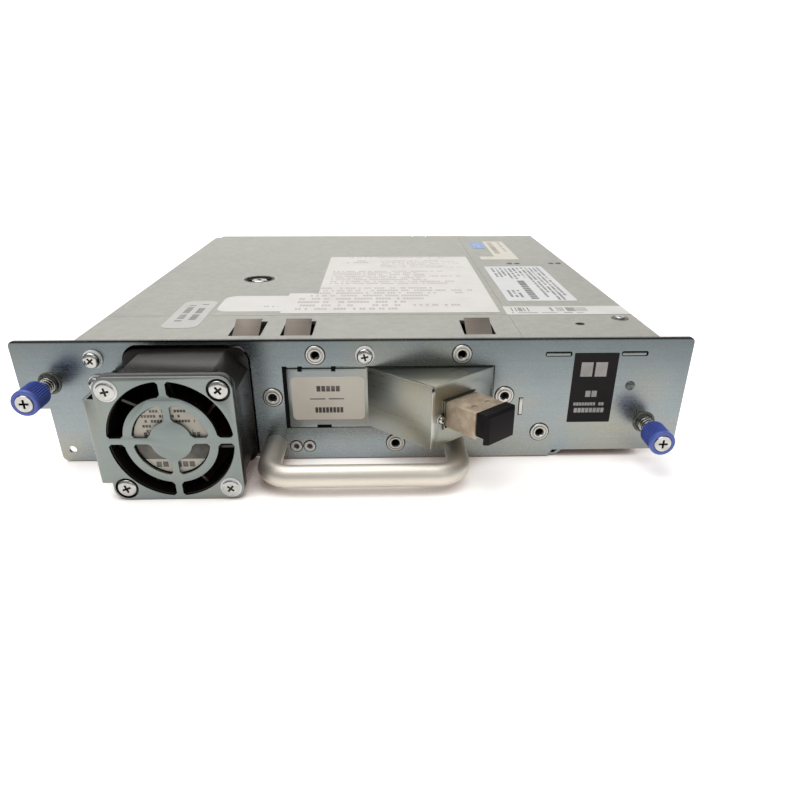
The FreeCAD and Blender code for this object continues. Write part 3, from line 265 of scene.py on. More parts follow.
# ==== Tape mechanism ========================================================================
# A die-cast aluminium base carries the loader, which slides on ledges and lowers the cartridge
# onto the toothed clutch of the reel motor. The boards are glass fibre under green varnish.
def drifting(name, metallic, roughness, stops, ior=1.5, gloss=0.5, fine=None, shine=None,
             relief=None, **cloud):
    """A coat whose colour drifts between these tones, in clouds with these noise settings. Its
    roughness runs between the two of shine, and its relief has this strength and this depth in
    millimetres. Both follow the fine noise, or the clouds where there is none."""
    material, tree, shader, place = coat(name, metallic, roughness, ior, gloss)
    height = add(tree, "TexNoise", cloud, {"Vector": place}).outputs["Fac"]
    tone = add(tree, "ValToRGB", {"stops": stops}, {"Fac": height})
    join(tree, shader, Base_Color=tone.outputs["Color"])
    if fine:
        height = add(tree, "TexNoise", fine, {"Vector": place}).outputs["Fac"]
    if shine:
        rough = add(tree, "MapRange", {"To Min": shine[0], "To Max": shine[1]}, {"Value": height})
        join(tree, shader, Roughness=rough.outputs["Result"])
    if relief:
        bump = add(tree, "Bump", {"Strength": relief[0], "Distance": relief[1] * MM}, {"Height": height})
        join(tree, shader, Normal=bump.outputs["Normal"])
    return material


# cast aluminium: flow marks of a few centimetres, and a half matt skin with millimetre pits
cast = drifting("die_cast_aluminium", 1.0, 0.5, [(0.35, "#7C7D7C"), (0.65, "#989997")],
                fine={"Scale": 700.0, "Detail": 4.0}, relief=(0.25, 0.2),
                Scale=30.0, Detail=3.0, Distortion=0.8)
dress(cast, "drive_base")
dress(zinc, "loader_frame", "cartridge_tray")

# solder varnish: half glossy green, paler over the copper tracks, with the board's weave in it
varnish, tree, shader, place = coat("green_solder_varnish", 0.0, 0.32)
tracks = add(tree, "TexBrick", {"Scale": 260.0, "Mortar Size": 0.03, "Color1": linear("#0E4A2A"),
                                "Color2": linear("#125632"), "Mortar": linear("#2E7A4C")},
             {"Vector": place})
weave = add(tree, "TexNoise", {"Scale": 1500.0}, {"Vector": place})
bump = add(tree, "Bump", {"Strength": 0.1, "Distance": 0.1 * MM}, {"Height": weave.outputs["Fac"]})
join(tree, shader, Base_Color=tracks.outputs["Color"], Normal=bump.outputs["Normal"])
dress(varnish, "drive_board", "interface_board", "fibre_board")

# pressed steel: half bright, with stains about five millimetres wide
can = drifting("pressed_motor_steel", 1.0, 0.3, [(0.35, "#8B8C8C"), (0.7, "#A9AAA8")],
               Scale=180.0, Detail=3.0)
dress(can, "reel_motor")

# natural acetal: a milky, slightly waxy white
acetal = drifting("natural_acetal", 0.0, 0.38, [(0.3, "#D9D6CB"), (0.7, "#E6E3DA")], 1.48,
                  Scale=90.0, Detail=3.0)
dress(acetal, "drive_hub")


# ==== Drive front ===========================================================================
# Moulded black ABS round the cartridge mouth, with a fine spark grain, a grey eject button and
# a smoked window. The flap in the mouth hangs on a pin and swings inward.
def settle(name, body, material, angle=30):
    """Finishes the active piece: its place goes into its mesh, then shading, coat and body."""
    if bpy.context.mode != "OBJECT":
        bpy.ops.object.mode_set(mode="OBJECT")
    piece = bpy.context.object
    piece.name = name
    bpy.ops.object.transform_apply(location=True, rotation=True, scale=True)
    bpy.ops.object.shade_smooth_by_angle(angle=math.radians(angle))
    if piece.data.materials:
        piece.data.materials[0] = material
    else:
        piece.data.materials.append(material)
    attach(piece, body)
    return piece


def softened(node, width, material, sides=2, angle=35):
    """Stands for a CAD node: the same shape with its sharp edges rounded to this radius."""
    clear()
    source = frame["nodes"][node]
    piece = bpy.data.objects.new(node + "_rounded", source.data.copy())
    piece.data.materials.clear()
    bpy.context.scene.collection.objects.link(piece)
    piece.select_set(True)
    bpy.context.view_layer.objects.active = piece
    bpy.ops.mesh.customdata_custom_splitnormals_clear()
    bpy.ops.object.mode_set(mode="EDIT")
    bpy.ops.mesh.select_all(action="SELECT")
    bpy.ops.mesh.remove_doubles(threshold=0.001 * MM)
    bpy.ops.mesh.dissolve_limited(angle_limit=math.radians(1.0))
    bpy.ops.object.mode_set(mode="OBJECT")
    bevel = piece.modifiers.new("edge", "BEVEL")
    bevel.width = width * MM
    bevel.segments = sides
    bevel.angle_limit = math.radians(angle)
    bevel.limit_method = "ANGLE"
    bpy.ops.object.modifier_apply(modifier="edge")
    settle(node + "_rounded", source["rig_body"], material)
    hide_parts(node)


def moulded(name, dark, light, roughness, grain=0.25, strength=0.2, gloss=0.5):
    """Moulded plastic: cloudy pigment and a spark grain of this width in millimetres."""
    return drifting(name, 0.0, roughness, [(0.3, dark), (0.7, light)], gloss=gloss,
                    fine={"Scale": 1000.0 / grain, "Detail": 2.0},
                    shine=(roughness - 0.06, roughness + 0.08), relief=(strength, 0.1),
                    Scale=60.0, Detail=4.0)


# ABS: half matt, its spark grain a quarter of a millimetre. The window is dark and glossy.
abs_black = moulded("black_abs", "#141415", "#1C1C1D", 0.5)
abs_grey = moulded("grey_abs", "#63676A", "#6E7275", 0.45)
acrylic = moulded("smoked_acrylic", "#08080A", "#0C0C0F", 0.08, strength=0.0)
softened("drive_bezel", 0.25, abs_black)
softened("cartridge_door", 0.2, abs_black)
softened("eject_button", 0.3, abs_grey)
dress(acrylic, "status_window")


# ==== Bay connector =========================================================================
# The interface board in the bay ends in a blind-mating plug: a half matt, black, glass-filled
# moulded shell, with a blade in it that carries gold-plated contacts on both faces.
shell = moulded("glass_filled_black", "#101010", "#191918", 0.42)
dress(shell, "dock_connector")

# hard gold plate: smooth and yellow, with faint paler clouds
gold = drifting("gold_plate", 1.0, 0.22, [(0.3, "#D8A844"), (0.7, "#E6BE62")], Scale=400.0)


def twin(piece, name, matrix):
    """A copy of a piece with its own mesh, put in another place."""
    copy = piece.copy()
    copy.data = piece.data.copy()
    copy.data.transform(matrix)
    copy.name = name
    bpy.context.scene.collection.objects.link(copy)
    return copy


contact_pitch = 1.27
blade_to_blade = 1.66
dock_low, dock_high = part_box("dock_connector")
contact_at = Vector((dock_low.x + 4.0 * MM, dock_high.y - 3.6 * MM,
                     (dock_low.z + dock_high.z) / 2 + 2.65 * MM))
clear()
bpy.ops.mesh.primitive_cube_add(size=1.0, location=contact_at, scale=(0.8 * MM, 4.8 * MM, 0.08 * MM))
bpy.ops.object.mode_set(mode="EDIT")
pick("edges", lambda e: min(v.co.y for v in e.verts) > 0 and min(v.co.z for v in e.verts) > 0)
bpy.ops.mesh.bevel(offset=0.05 * MM, segments=2)
contact = settle("dock_contact_01", "sled", gold)
for column in range(16):
    for row, drop in enumerate((0.0, -blade_to_blade * MM)):
        if column or row:
            twin(contact, f"dock_contact_{column * 2 + row + 1:02d}",
                 Matrix.Translation((column * contact_pitch * MM, 0, drop)))


# ==== Covers ================================================================================
# Galvanised steel 1 mm thick: a strip behind the panel, the drive's cover with its dished hole,
# and the bay's cover. The zinc has dulled to a warm, half matt grey, with a faint spangle about
# four millimetres wide.
galvanised, tree, shader, place = coat("galvanised_steel", 1.0, 0.44)
spangle = add(tree, "TexVoronoi", {"Scale": 260.0, "Randomness": 1.0}, {"Vector": place})
cloud = add(tree, "TexNoise", {"Scale": 14.0, "Detail": 4.0, "Roughness": 0.55}, {"Vector": place})
tone = add(tree, "ValToRGB", {"stops": [(0.3, "#9C9E98"), (0.52, "#A2A39C"), (0.75, "#A7A69C")]},
           {"Fac": cloud.outputs["Fac"]})
flake = add(tree, "Mix", {"data_type": "RGBA", "blend_type": "SOFT_LIGHT", 0: 0.10},
            {6: tone.outputs["Color"], 7: spangle.outputs["Distance"]})
fine = add(tree, "TexNoise", {"Scale": 1300.0, "Detail": 3.0}, {"Vector": place})
rough = add(tree, "MapRange", {"From Min": 0.3, "From Max": 0.7, "To Min": 0.38, "To Max": 0.50},
            {"Value": fine.outputs["Fac"]})
bump = add(tree, "Bump", {"Strength": 0.07, "Distance": 0.2 * MM}, {"Height": fine.outputs["Fac"]})
join(tree, shader, Base_Color=flake.outputs[2], Roughness=rough.outputs["Result"],
     Normal=bump.outputs["Normal"])
dress(galvanised, "top_strip", "drive_cover", "bay_cover")


def lathe(sides, profile, hollow=False):
    """A turned piece about Z: a ring drawn at the first (radius, height) in millimetres, then
    extruded and scaled through the rest. Its ends are capped, or joined if it is hollow."""
    clear()
    radius, height = profile[0]
    bpy.ops.mesh.primitive_circle_add(vertices=sides, radius=radius * MM, location=(0, 0, height * MM))
    bpy.ops.object.transform_apply(location=True)
    bpy.ops.object.mode_set(mode="EDIT")
    bpy.ops.mesh.select_mode(type="EDGE")
    bpy.ops.mesh.select_all(action="SELECT")
    for wider, higher in profile[1:]:
        bpy.ops.mesh.extrude_edges_move(TRANSFORM_OT_translate={"value": (0, 0, (higher - height) * MM)})
        share = wider / radius
        bpy.ops.transform.resize(value=(share, share, 1), center_override=(0, 0, 0))
        radius, height = wider, higher
    if hollow:
        pick("edges", lambda e: e.is_boundary)
        bpy.ops.mesh.bridge_edge_loops()
    else:
        bpy.ops.mesh.select_all(action="SELECT")
        bpy.ops.mesh.fill_holes(sides=0)
    bpy.ops.mesh.select_all(action="SELECT")
    bpy.ops.mesh.normals_make_consistent(inside=False)
    bpy.ops.object.mode_set(mode="OBJECT")
    return bpy.context.object


def set_out(name, material, angle, places):
    """Finishes the active piece, puts a copy of it on the sled at each place and removes it."""
    master = settle(name, "sled", material, angle)
    for i, matrix in enumerate(places):
        twin(master, f"{name}_{i + 1}", matrix)
    bpy.data.objects.remove(master)


# Pairs of spot welds hold a rail under the bay's cover; their dark grey is painted shade.
dark_grey_shade = drifting("painted_shade_grey", 1.0, 0.5, [(0.3, "#4F4E4A"), (0.7, "#7B7A73")],
                     Scale=700.0, Detail=3.0)
cover_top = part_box("drive_cover")[1].z
bay_low, bay_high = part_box("bay_cover")
lathe(20, [(1.5, 0.0), (1.25, 0.18), (0.8, 0.32), (0.3, 0.38)])
set_out("spot_weld", dark_grey_shade, 60, [
    Matrix.Translation((bay_low.x + across_bay * MM, bay_low.y + 123.6 * MM, bay_high.z - 0.02 * MM))
    for across_bay in (17.0, 20.6, 37.4, 41.0)])


def block(size, at, rounding, sides=2):
    """A small block with its edges rounded, its size, place and rounding in millimetres."""
    clear()
    bpy.ops.mesh.primitive_cube_add(size=1.0, location=[c * MM for c in at], scale=[c * MM for c in size])
    bpy.ops.object.transform_apply(location=True, scale=True)
    bpy.ops.object.mode_set(mode="EDIT")
    bpy.ops.mesh.select_all(action="SELECT")
    bpy.ops.mesh.bevel(offset=rounding * MM, segments=sides)


# the bay's cover is joggled under the drive's cover, so the seam between them is shallow
seam_x = (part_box("drive_cover")[1].x + bay_low.x) / 2 / MM
seam_y = (bay_low.y + bay_high.y) / 2 / MM
seam_long = (bay_high.y - bay_low.y) / MM - 2
block((0.5, seam_long, 0.5), (seam_x, seam_y, cover_top / MM - 0.35), 0.05, sides=1)
settle("seam_joggle", "sled", galvanised)


# ==== Screws and washers ====================================================================
# Zinc plated pan-head screws, most of them M3, some on a spring washer and a flat washer. The
# head is forged with a cross recess; bright edges and painted shade in the recess give it its sparkle.
bright = drifting("bright_zinc_screw", 1.0, 0.2, [(0.3, "#A9A9A6"), (0.7, "#C2C1BC")],
                  shine=(0.12, 0.28), Scale=500.0, Detail=2.0)

# painted shade: a dark coat for the recesses and the gaps round pressed parts, where shade falls
painted_gap_shade = drifting("painted_shade_coat", 0.3, 0.5, [(0.3, "#1B1917"), (0.7, "#34302C")], Scale=900.0)


def cross_recess(piece, reach, width, top, deep):
    """Cuts a tapered cross into the top of a head."""
    for turn in (0, 90):
        clear()
        bpy.ops.mesh.primitive_cube_add(size=1.0, scale=(reach * 2 * MM, width * MM, deep * 2 * MM),
                                        location=(0, 0, top * MM), rotation=(0, 0, math.radians(turn)))
        cutter = bpy.context.object
        bpy.ops.object.transform_apply(location=True, rotation=True, scale=True)
        bpy.ops.object.mode_set(mode="EDIT")
        pick("faces", lambda f: f.normal.z < -0.9)
        bpy.ops.transform.resize(value=(0.55, 0.55, 1), center_override=(0, 0, 0))
        bpy.ops.object.mode_set(mode="OBJECT")
        clear()
        piece.select_set(True)
        bpy.context.view_layer.objects.active = piece
        cut = piece.modifiers.new("recess", "BOOLEAN")
        cut.operation = "DIFFERENCE"
        cut.object = cutter
        cut.solver = "EXACT"
        bpy.ops.object.modifier_apply(modifier="recess")
        bpy.data.objects.remove(cutter)
    # the recess's walls and floor take the dark coat: painted shade
    piece.data.materials.append(bright)
    piece.data.materials.append(painted_gap_shade)
    bpy.ops.object.mode_set(mode="EDIT")
    floor_z = (top - deep) * MM

    def recessed(face):
        middle = face.calc_center_median()
        in_wall = face.normal.z < 0.9 and middle.xy.length < reach * 1.02 * MM and middle.z > floor_z
        return in_wall or abs(middle.z - floor_z) < 0.01 * MM

    pick("faces", recessed)
    piece.active_material_index = 1
    bpy.ops.object.material_slot_assign()
    bpy.ops.object.mode_set(mode="OBJECT")


def pan_heads(name, radius, height, washers, places):
    """Screws at these places, on washers of this height in all. Made on the origin, head up."""
    low = washers
    head = lathe(40, [(radius * 0.97, low - 0.2), (radius, low + 0.25), (radius, low + height * 0.5),
                      (radius * 0.95, low + height * 0.75), (radius * 0.8, low + height * 0.92),
                      (radius * 0.5, low + height)])
    cross_recess(head, radius * 0.6, radius * 0.3, low + height, height * 0.6)
    if washers:
        thick = washers / 2
        bore = 1.7
        flat = lathe(40, [(bore, 0.0), (radius * 1.17, 0.0), (radius * 1.19, thick * 0.2),
                          (radius * 1.19, thick * 0.8), (radius * 1.15, thick * 0.9),
                          (bore, thick * 0.9)], hollow=True)
        sprung = lathe(40, [(bore, thick), (radius, thick), (radius * 1.03, thick * 1.2),
                            (radius * 1.03, thick * 1.75), (radius * 0.98, thick * 1.95),
                            (bore, thick * 1.98)], hollow=True)
        for piece in (flat, sprung, head):
            piece.select_set(True)
        bpy.context.view_layer.objects.active = head
        bpy.ops.object.join()
    set_out(name, bright, 40, places)


# ==== Connector panel =======================================================================
# Steel 1.2 mm thick, punched and then zinc plated, a little bluer than the tray, with painted
# shade darkening it towards its upper edge and painting that edge near black. Round-head bushes
# with an M3 thread are pressed into it from the front, and two pins are clinched into it low down.
panel_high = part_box("connector_panel")[1]
# from this height up, the panel's top edge is painted near black as shade
painted_edge_height = 42.72 * MM
panel_zinc = plated("zinc_plated_panel", "#848D90", "#909799", "#9D9B8E", 0.27, painted_edge_height)
dress(panel_zinc, "connector_panel")
outward = Vector((0, -1, 0))


def facing(at, outward, roll=0.0):
    """Where a piece made about Z on the origin goes, so that its top faces outward."""
    turn = Vector(outward).to_track_quat("Z", "Y").to_matrix().to_4x4()
    return Matrix.Translation(at) @ turn @ Matrix.Rotation(math.radians(roll), 4, "Z")


def on_panel(x, z, roll=0.0, out=0.0):
    """A place on the panel's front, in millimetres across and up, for a piece made about Z."""
    return facing(Vector((x * MM, panel_front - out * MM, z * MM)), outward, roll)


# barrel-plated zinc on small parts: paler and warmer than on the sheet
bush_zinc = plated("bush_zinc", "#A09F9A", "#B5B3AE", "#C8C5BD", 0.3)


def gap_shade_rings(name, inner, outer, places):
    """Painted shade: thin dark rings where pressed parts meet the panel."""
    lathe(40, [(inner, 0.02), (outer, 0.02), (outer, 0.05), (inner, 0.05)], hollow=True)
    set_out(name, painted_gap_shade, 25, places)


lathe(40, [(3.1, -0.1), (3.1, 0.3), (2.95, 0.48), (2.5, 0.5), (2.3, 0.22), (2.1, 0.22), (2.0, 0.66),
           (1.55, 0.66), (1.3, 0.3), (1.24, -1.1)], hollow=True)
port_low, port_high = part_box("port_bracket")
port_x = (port_low.x + port_high.x) / 2 / MM
port_z = 22.9
bush_places = [on_panel(port_x + dx, port_z + dz) for dx, dz in (
    (-23.85, 14.8), (23.85, 14.8), (-38.7, 0.3), (38.7, 0.3), (2.12, -16.8), (51.82, -13.2))]
set_out("threaded_bush", bush_zinc, 25, bush_places)
# painted shade round each bush's flange, and in its bore
gap_shade_rings("bush_gap_shade", 3.0, 3.38, bush_places)
in_the_bore = Matrix.Translation((0, 0, 0.22 * MM))
gap_shade_rings("bush_bore_shade", 1.2, 1.5, [bush_at @ in_the_bore for bush_at in bush_places])

lathe(32, [(1.95, -0.1), (1.95, 0.3), (1.8, 0.42), (1.1, 0.42), (0.7, 0.1), (0.3, 0.05)])
pin_z = 5.1
pin_places = [on_panel(-21.7, pin_z), on_panel(-17.1, pin_z)]
set_out("clinched_pin", bush_zinc, 25, pin_places)
# painted shade round each pin
gap_shade_rings("pin_gap_shade", 1.85, 2.26, pin_places)
# the pin's middle is darkened with the same coat of painted shade
lathe(16, [(0.72, 0.3), (0.62, 0.36), (0.2, 0.4)])
set_out("pin_centre_shade", painted_gap_shade, 25, pin_places)

# clear polycarbonate over an unlit lamp: glossy, its colour painted grey as shade for the dark behind it
lathe(24, [(1.58, 0.2), (1.5, 0.55), (1.2, 0.85), (0.7, 1.02), (0.25, 1.06)])
clear_lens = drifting("clear_polycarbonate", 0.0, 0.06, [(0.3, "#646967"), (0.7, "#747977")], 1.58,
                      Scale=600.0)
shader = clear_lens.node_tree.nodes["Principled BSDF"]
shader.inputs["Transmission Weight"].default_value = 0.45
light_low, light_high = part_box("light_lens")
set_out("light_dome", clear_lens, 60, [
    on_panel((light_low.x + light_high.x) / 2 / MM, (light_low.z + light_high.z) / 2 / MM, out=-0.2)])
dress(clear_lens, "light_lens")

pan_heads("panel_screw", 2.6, 1.6, 1.1, [
    on_panel(x, z, roll) for x, z, roll in ((-84.4, 36.9, 40), (2.7, 37.6, 12), (-84.4, 28.6, 70),
                                            (-84.4, 11.2, 25))])


# ==== Spring clips ==========================================================================
# Three strips of spring steel, stamped, bent and blued, which rise through the top strip and
# earth the sled to its bay. The blueing leaves them a brownish grey with a soft shine.
blued = plated("blued_spring_steel", "#6B645C", "#756C64", "#80776D", 0.3)
softened("spring_clips", 0.1, blued)


# ==== Cover screw ===========================================================================
# One bright zinc plated screw in the cover's dished hole goes down into the casting's boss. A
# smaller one holds the bay's cover, in a dimple whose rim is painted dark grey as shade.
base_low, base_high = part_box("drive_base")
boss = (base_low.x + 42.9 * MM, base_low.y + 61.0 * MM)
pan_heads("cover_screw", 3.5, 1.0, 1.0, [
    Matrix.Translation((*boss, base_high.z)) @ Matrix.Rotation(0.5, 4, "Z")])

# painted shade: the edge of the dish is a dark crescent, wider on the side away from the panel
lathe(48, [(5.7, 0.0), (6.75, 0.0), (6.7, 0.08), (5.75, 0.08)], hollow=True)
bpy.ops.object.mode_set(mode="EDIT")
pick("verts", lambda v: v.co.xy.length < 6.2 * MM)
bpy.ops.transform.translate(value=(0, -0.55 * MM, 0))
bpy.ops.object.mode_set(mode="OBJECT")
set_out("dish_edge_shade", painted_gap_shade, 40, [Matrix.Translation((*boss, cover_top))])

bay_places = [Matrix.Translation((bay_high.x - 6.0 * MM, bay_low.y + 23.0 * MM, bay_high.z - 0.02 * MM))]
pan_heads("bay_screw", 1.7, 0.7, 0.0, bay_places)
# painted shade: a dark grey ring round the small screw stands for the dimple's shaded wall
lathe(32, [(1.6, 0.0), (3.1, 0.0), (3.0, 0.12), (2.0, 0.1), (1.7, 0.05)], hollow=True)
set_out("bay_rim_shade", dark_grey_shade, 40, bay_places)


# ==== Fan ===================================================================================
# A 40 mm server fan of black PBT, moulded glossy, behind a finger guard whose zinc is a shade
# darker than the panel's. Its blades are a browner black nylon. Two screws hold the guard to
# it, and two the fan alone.
pbt = moulded("black_pbt", "#15110F", "#1D1917", 0.22, grain=0.4, strength=0.04, gloss=0.24)
blade_black = moulded("blade_nylon", "#231A15", "#30241D", 0.22, grain=0.4, strength=0.04)
guard_zinc = plated("finger_guard_zinc", "#78817F", "#838A87", "#8F8D81", 0.32)
softened("fan_housing", 0.35, pbt)
dress(blade_black, "fan_impeller")
softened("finger_guard", 0.16, guard_zinc)

fan_low, fan_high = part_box("fan_housing")
fan_x = (fan_low.x + fan_high.x) / 2 / MM
fan_z = (fan_low.z + fan_high.z) / 2 / MM
fan_out = (panel_front - fan_low.y) / MM
guard_out = (panel_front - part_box("finger_guard")[0].y) / MM

half_pitch = 16
pan_heads("guard_screw", 2.75, 0.6, 0.42, [
    on_panel(fan_x - half_pitch, fan_z + half_pitch, 10, guard_out),
    on_panel(fan_x + half_pitch, fan_z - half_pitch, 50, guard_out)])
pan_heads("fan_screw", 2.9, 1.5, 0.0, [
    on_panel(fan_x + half_pitch, fan_z + half_pitch, 35, fan_out),
    on_panel(fan_x - half_pitch, fan_z - half_pitch, 20, fan_out)])


# ==== Port housing ==========================================================================
# A bracket and a folded wall of zinc plated sheet make a wedge that turns the optical port
# aside. A small stud with a screw holds the wedge to the panel's bracket.
softened("port_bracket", 0.12, zinc)
softened("port_wall", 0.12, zinc)

# painted shade: matt black blocks behind the plate darken its notches and the gap at its left
front_mm = panel_front / MM
plate_width = 69.9
plate_left = port_x - plate_width / 2
plate_low, plate_top = port_z - 11.0, port_z + 11.0
notch_shade = moulded("painted_shade_black", "#0A0909", "#121111", 0.8, grain=0.5, strength=0.3, gloss=0.15)
for i, (x, z, w, h) in enumerate(((5.7, plate_top - 0.95, 1.4, 1.9), (16.7, plate_top - 0.95, 1.4, 1.9),
                                  (12.85, plate_low + 0.6, 4.9, 1.0), (0.68, port_z, 1.3, 21.9))):
    block((w, 0.5, h), (plate_left + x, front_mm + 0.75, z), 0.1)
    settle(f"foam_{i + 1}", "sled", notch_shade)

# the stud at the wedge's corner, with its bright screw
box_low, box_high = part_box("port_wall")
apex = Vector((plate_left + 47.77, front_mm - 18.6, 0)) * MM
wall_end = Vector((plate_left + plate_width - 0.45, front_mm, 0)) * MM
wall_along = (wall_end - apex).normalized()
wall_out = Vector((wall_along.y, -wall_along.x, 0))


def on_wedge(along, up, out=0.0, roll=0.0):
    """A place on the wedge's right wall, in millimetres along it from the apex and up."""
    at = apex + wall_along * along * MM + Vector((0, 0, up * MM)) + wall_out * out * MM
    return facing(at, wall_out, roll)


stud_at = (3.7, 21.8)
pan_heads("stud_screw", 1.25, 1.2, 0.0, [on_wedge(*stud_at, 0.5, 20)])
lathe(6, [(1.5, -0.1), (1.6, 0.05), (1.6, 0.5), (1.45, 0.62)])
set_out("stud_nut", bush_zinc, 25, [on_wedge(*stud_at)])

# the left wall's end laps the right one, in paler zinc as a painted highlight along its edge, with a
# relief cut where they meet the lid drawn as a dark disc of painted shade
wall_height = (box_high.z - box_low.z) / MM
lap_at = 0.62
block((1.3, wall_height - 1.6, 0.35), (0, 0, 0), 0.12)
set_out("wall_lap", bush_zinc, 30, [
    on_wedge(lap_at, box_low.z / MM + wall_height / 2 - 0.8, 0.14)])
lathe(12, [(0.55, 0.0), (0.5, 0.08), (0.2, 0.1)])
set_out("wall_relief_shade", painted_gap_shade, 30, [on_wedge(lap_at, box_high.z / MM - 1.1, 0.02)])

# tongues lanced from the panel: one upright beside the port, two in the slots by the label
lance_x = port_x + 38.7 + 5.8
block((1.1, 0.5, 5.9), (lance_x + 0.1, front_mm + 0.15, 19.2), 0.12)
settle("lance_tongue", "sled", bush_zinc)
for i, inset in enumerate((44.1, 19.0)):
    block((8.0, 0.5, 1.0), (panel_high.x / MM - inset, front_mm + 0.5, 37.2), 0.12)
    settle(f"slot_tongue_{i + 1}", "sled", guard_zinc)


# ==== Transceiver and its plug ==============================================================
# The optical module's case is die-cast zinc, nickel plated. Tarnish has taken most of its
# mirror away and left a mottled straw colour. A plug of soft, dull black rubber, pushed in by
# hand, keeps dust out of its two sockets.
nickel = drifting("nickel_plate", 0.2, 0.42, [(0.3, "#8F7F69"), (0.5, "#A5947E"), (0.7, "#BDB09C")],
                  shine=(0.3, 0.55), relief=(0.12, 0.2), Scale=260.0, Detail=5.0, Roughness=0.7)


def raised(test, rise):
    """Lifts the vertices of the active piece that pass the test by this many millimetres."""
    bpy.ops.object.mode_set(mode="EDIT")
    pick("verts", test)
    bpy.ops.transform.translate(value=(0, 0, rise * MM))
    bpy.ops.object.mode_set(mode="OBJECT")


# the case's underside is raised, which leaves it a little shallower than its cage
softened("transceiver", 0.15, nickel)
raised(lambda v: v.co.z / MM < 18.5, 0.6)
rubber = moulded("black_rubber", "#110E0F", "#181515", 0.55, grain=0.3, strength=0.12, gloss=0.1)
softened("dust_plug", 0.35, rubber, sides=3)
# below, the plug is cut back behind its face so that a finger can pull it
raised(lambda v: 18.0 < v.co.z / MM < 19.0, 1.4)
raised(lambda v: v.co.z / MM < 17.8, 0.9)


# ==== Handle ================================================================================
# An aluminium bar 7.4 mm thick, bent twice, blasted and satin anodised, and screwed on from
# behind the panel. Blasting scatters the light, so it looks pale, half matt and a bit warm.
satin = drifting("satin_anodised_aluminium", 0.9, 0.5, [(0.3, "#D3CCC0"), (0.7, "#DBD5CA")],
                 fine={"Scale": 1400.0, "Detail": 3.0}, shine=(0.42, 0.58), relief=(0.08, 0.1),
                 Scale=40.0, Detail=3.0)
grip_low, grip_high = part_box("handle")
bar_r = (grip_high.z - grip_low.z) / 2
bend_r = 8.0 * MM
bar_z = (grip_low.z + grip_high.z) / 2
bend_y = grip_low.y + bar_r + bend_r
left_x, right_x = grip_low.x + bar_r, grip_high.x - bar_r


def sealed():
    """In edit mode, welds the active piece's seams, caps it and turns its faces outward."""
    bpy.ops.mesh.select_all(action="SELECT")
    bpy.ops.mesh.remove_doubles(threshold=0.001 * MM)
    bpy.ops.mesh.fill_holes(sides=0)
    bpy.ops.mesh.normals_make_consistent(inside=False)


def run(x, y):
    """Carries the open end of the bar straight on, this far in metres."""
    bpy.ops.mesh.extrude_edges_move(TRANSFORM_OT_translate={"value": (x, y, 0)})


def bend(x):
    """Bends the open end of the bar by a right angle about an upright axis at this X."""
    bpy.ops.mesh.spin(steps=14, angle=math.radians(-90), center=(x, bend_y, bar_z), axis=(0, 0, 1))


clear()
bpy.ops.mesh.primitive_circle_add(vertices=48, radius=bar_r, location=(left_x, grip_high.y, bar_z),
                                  rotation=(math.radians(90), 0, 0))
bpy.ops.object.transform_apply(location=True, rotation=True)
bpy.ops.object.mode_set(mode="EDIT")
bpy.ops.mesh.select_all(action="SELECT")
run(0, bend_y - grip_high.y)
bend(left_x + bend_r)
run(right_x - left_x - 2 * bend_r, 0)
bend(right_x - bend_r)
run(0, grip_high.y - bend_y)
sealed()
handle_bar = settle("handle_bar", "sled", satin, 50)
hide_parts("handle")


# ==== Thumbscrews ===========================================================================
# Captive M3 screws with knobs of moulded blue nylon: half glossy, with a fine spark grain, and
# grooved behind a smooth rim. A spring round each shank, with its foot in a steel ferrule
# pressed into the panel, holds it out.
knob_blue = moulded("blue_nylon", "#41529C", "#4C5DAB", 0.34, grain=0.2, strength=0.08)


def knob(name, side):
    """A knob on the origin: thirty-six grooves behind a rounded rim, and a bore for the screw."""
    piece = lathe(72, [(2.78, 8.05), (3.4, 8.0), (3.85, 8.15), (4.0, 8.4), (4.02, 8.6), (4.04, 16.0),
                       (4.12, 16.2), (4.12, 17.0), (4.0, 17.4), (3.75, 17.6), (3.0, 17.6), (2.8, 17.45)],
                  hollow=True)
    bpy.ops.object.mode_set(mode="EDIT")
    pick("verts", lambda v: 8.3 < v.co.z / MM < 16.1 and v.co.xy.length > 3.95 * MM
         and round(math.degrees(math.atan2(v.co.y, v.co.x)) / 5) % 2)
    bpy.ops.transform.resize(value=(0.9, 0.9, 1), center_override=(0, 0, 0))
    bpy.ops.object.mode_set(mode="OBJECT")
    return settle(name, side + "_thumbscrew", knob_blue, 20)


def thumb_insert(name, side):
    """The screw in the knob: a bright face with a cross recess, and the shank to the panel."""
    face = 17.84
    piece = lathe(40, [(1.45, -3.0), (1.5, -2.6), (1.5, 7.9), (2.6, 7.95), (2.74, 8.2), (2.74, 17.6),
                       (2.6, 17.8), (2.0, face)])
    cross_recess(piece, 1.9, 0.9, face, 1.3)
    return settle(name, side + "_thumbscrew", bright, 30)


def thumb_spring(name, side):
    """A wire of 0.5 mm wound into a spring round the shank, from the panel to the knob."""
    turns = 5
    clear()
    bpy.ops.mesh.primitive_circle_add(vertices=10, radius=0.25 * MM, location=(2.35 * MM, 0, 0.3 * MM),
                                      rotation=(math.radians(90), 0, 0))
    bpy.ops.object.transform_apply(location=True, rotation=True)
    wire = bpy.context.object
    coil = wire.modifiers.new("coil", "SCREW")
    coil.screw_offset = 7.3 / turns * MM
    coil.iterations = turns
    coil.steps = 24
    coil.render_steps = 24
    bpy.ops.object.modifier_apply(modifier="coil")
    bpy.ops.object.mode_set(mode="EDIT")
    sealed()
    return settle(name, "sled", bright, 60)


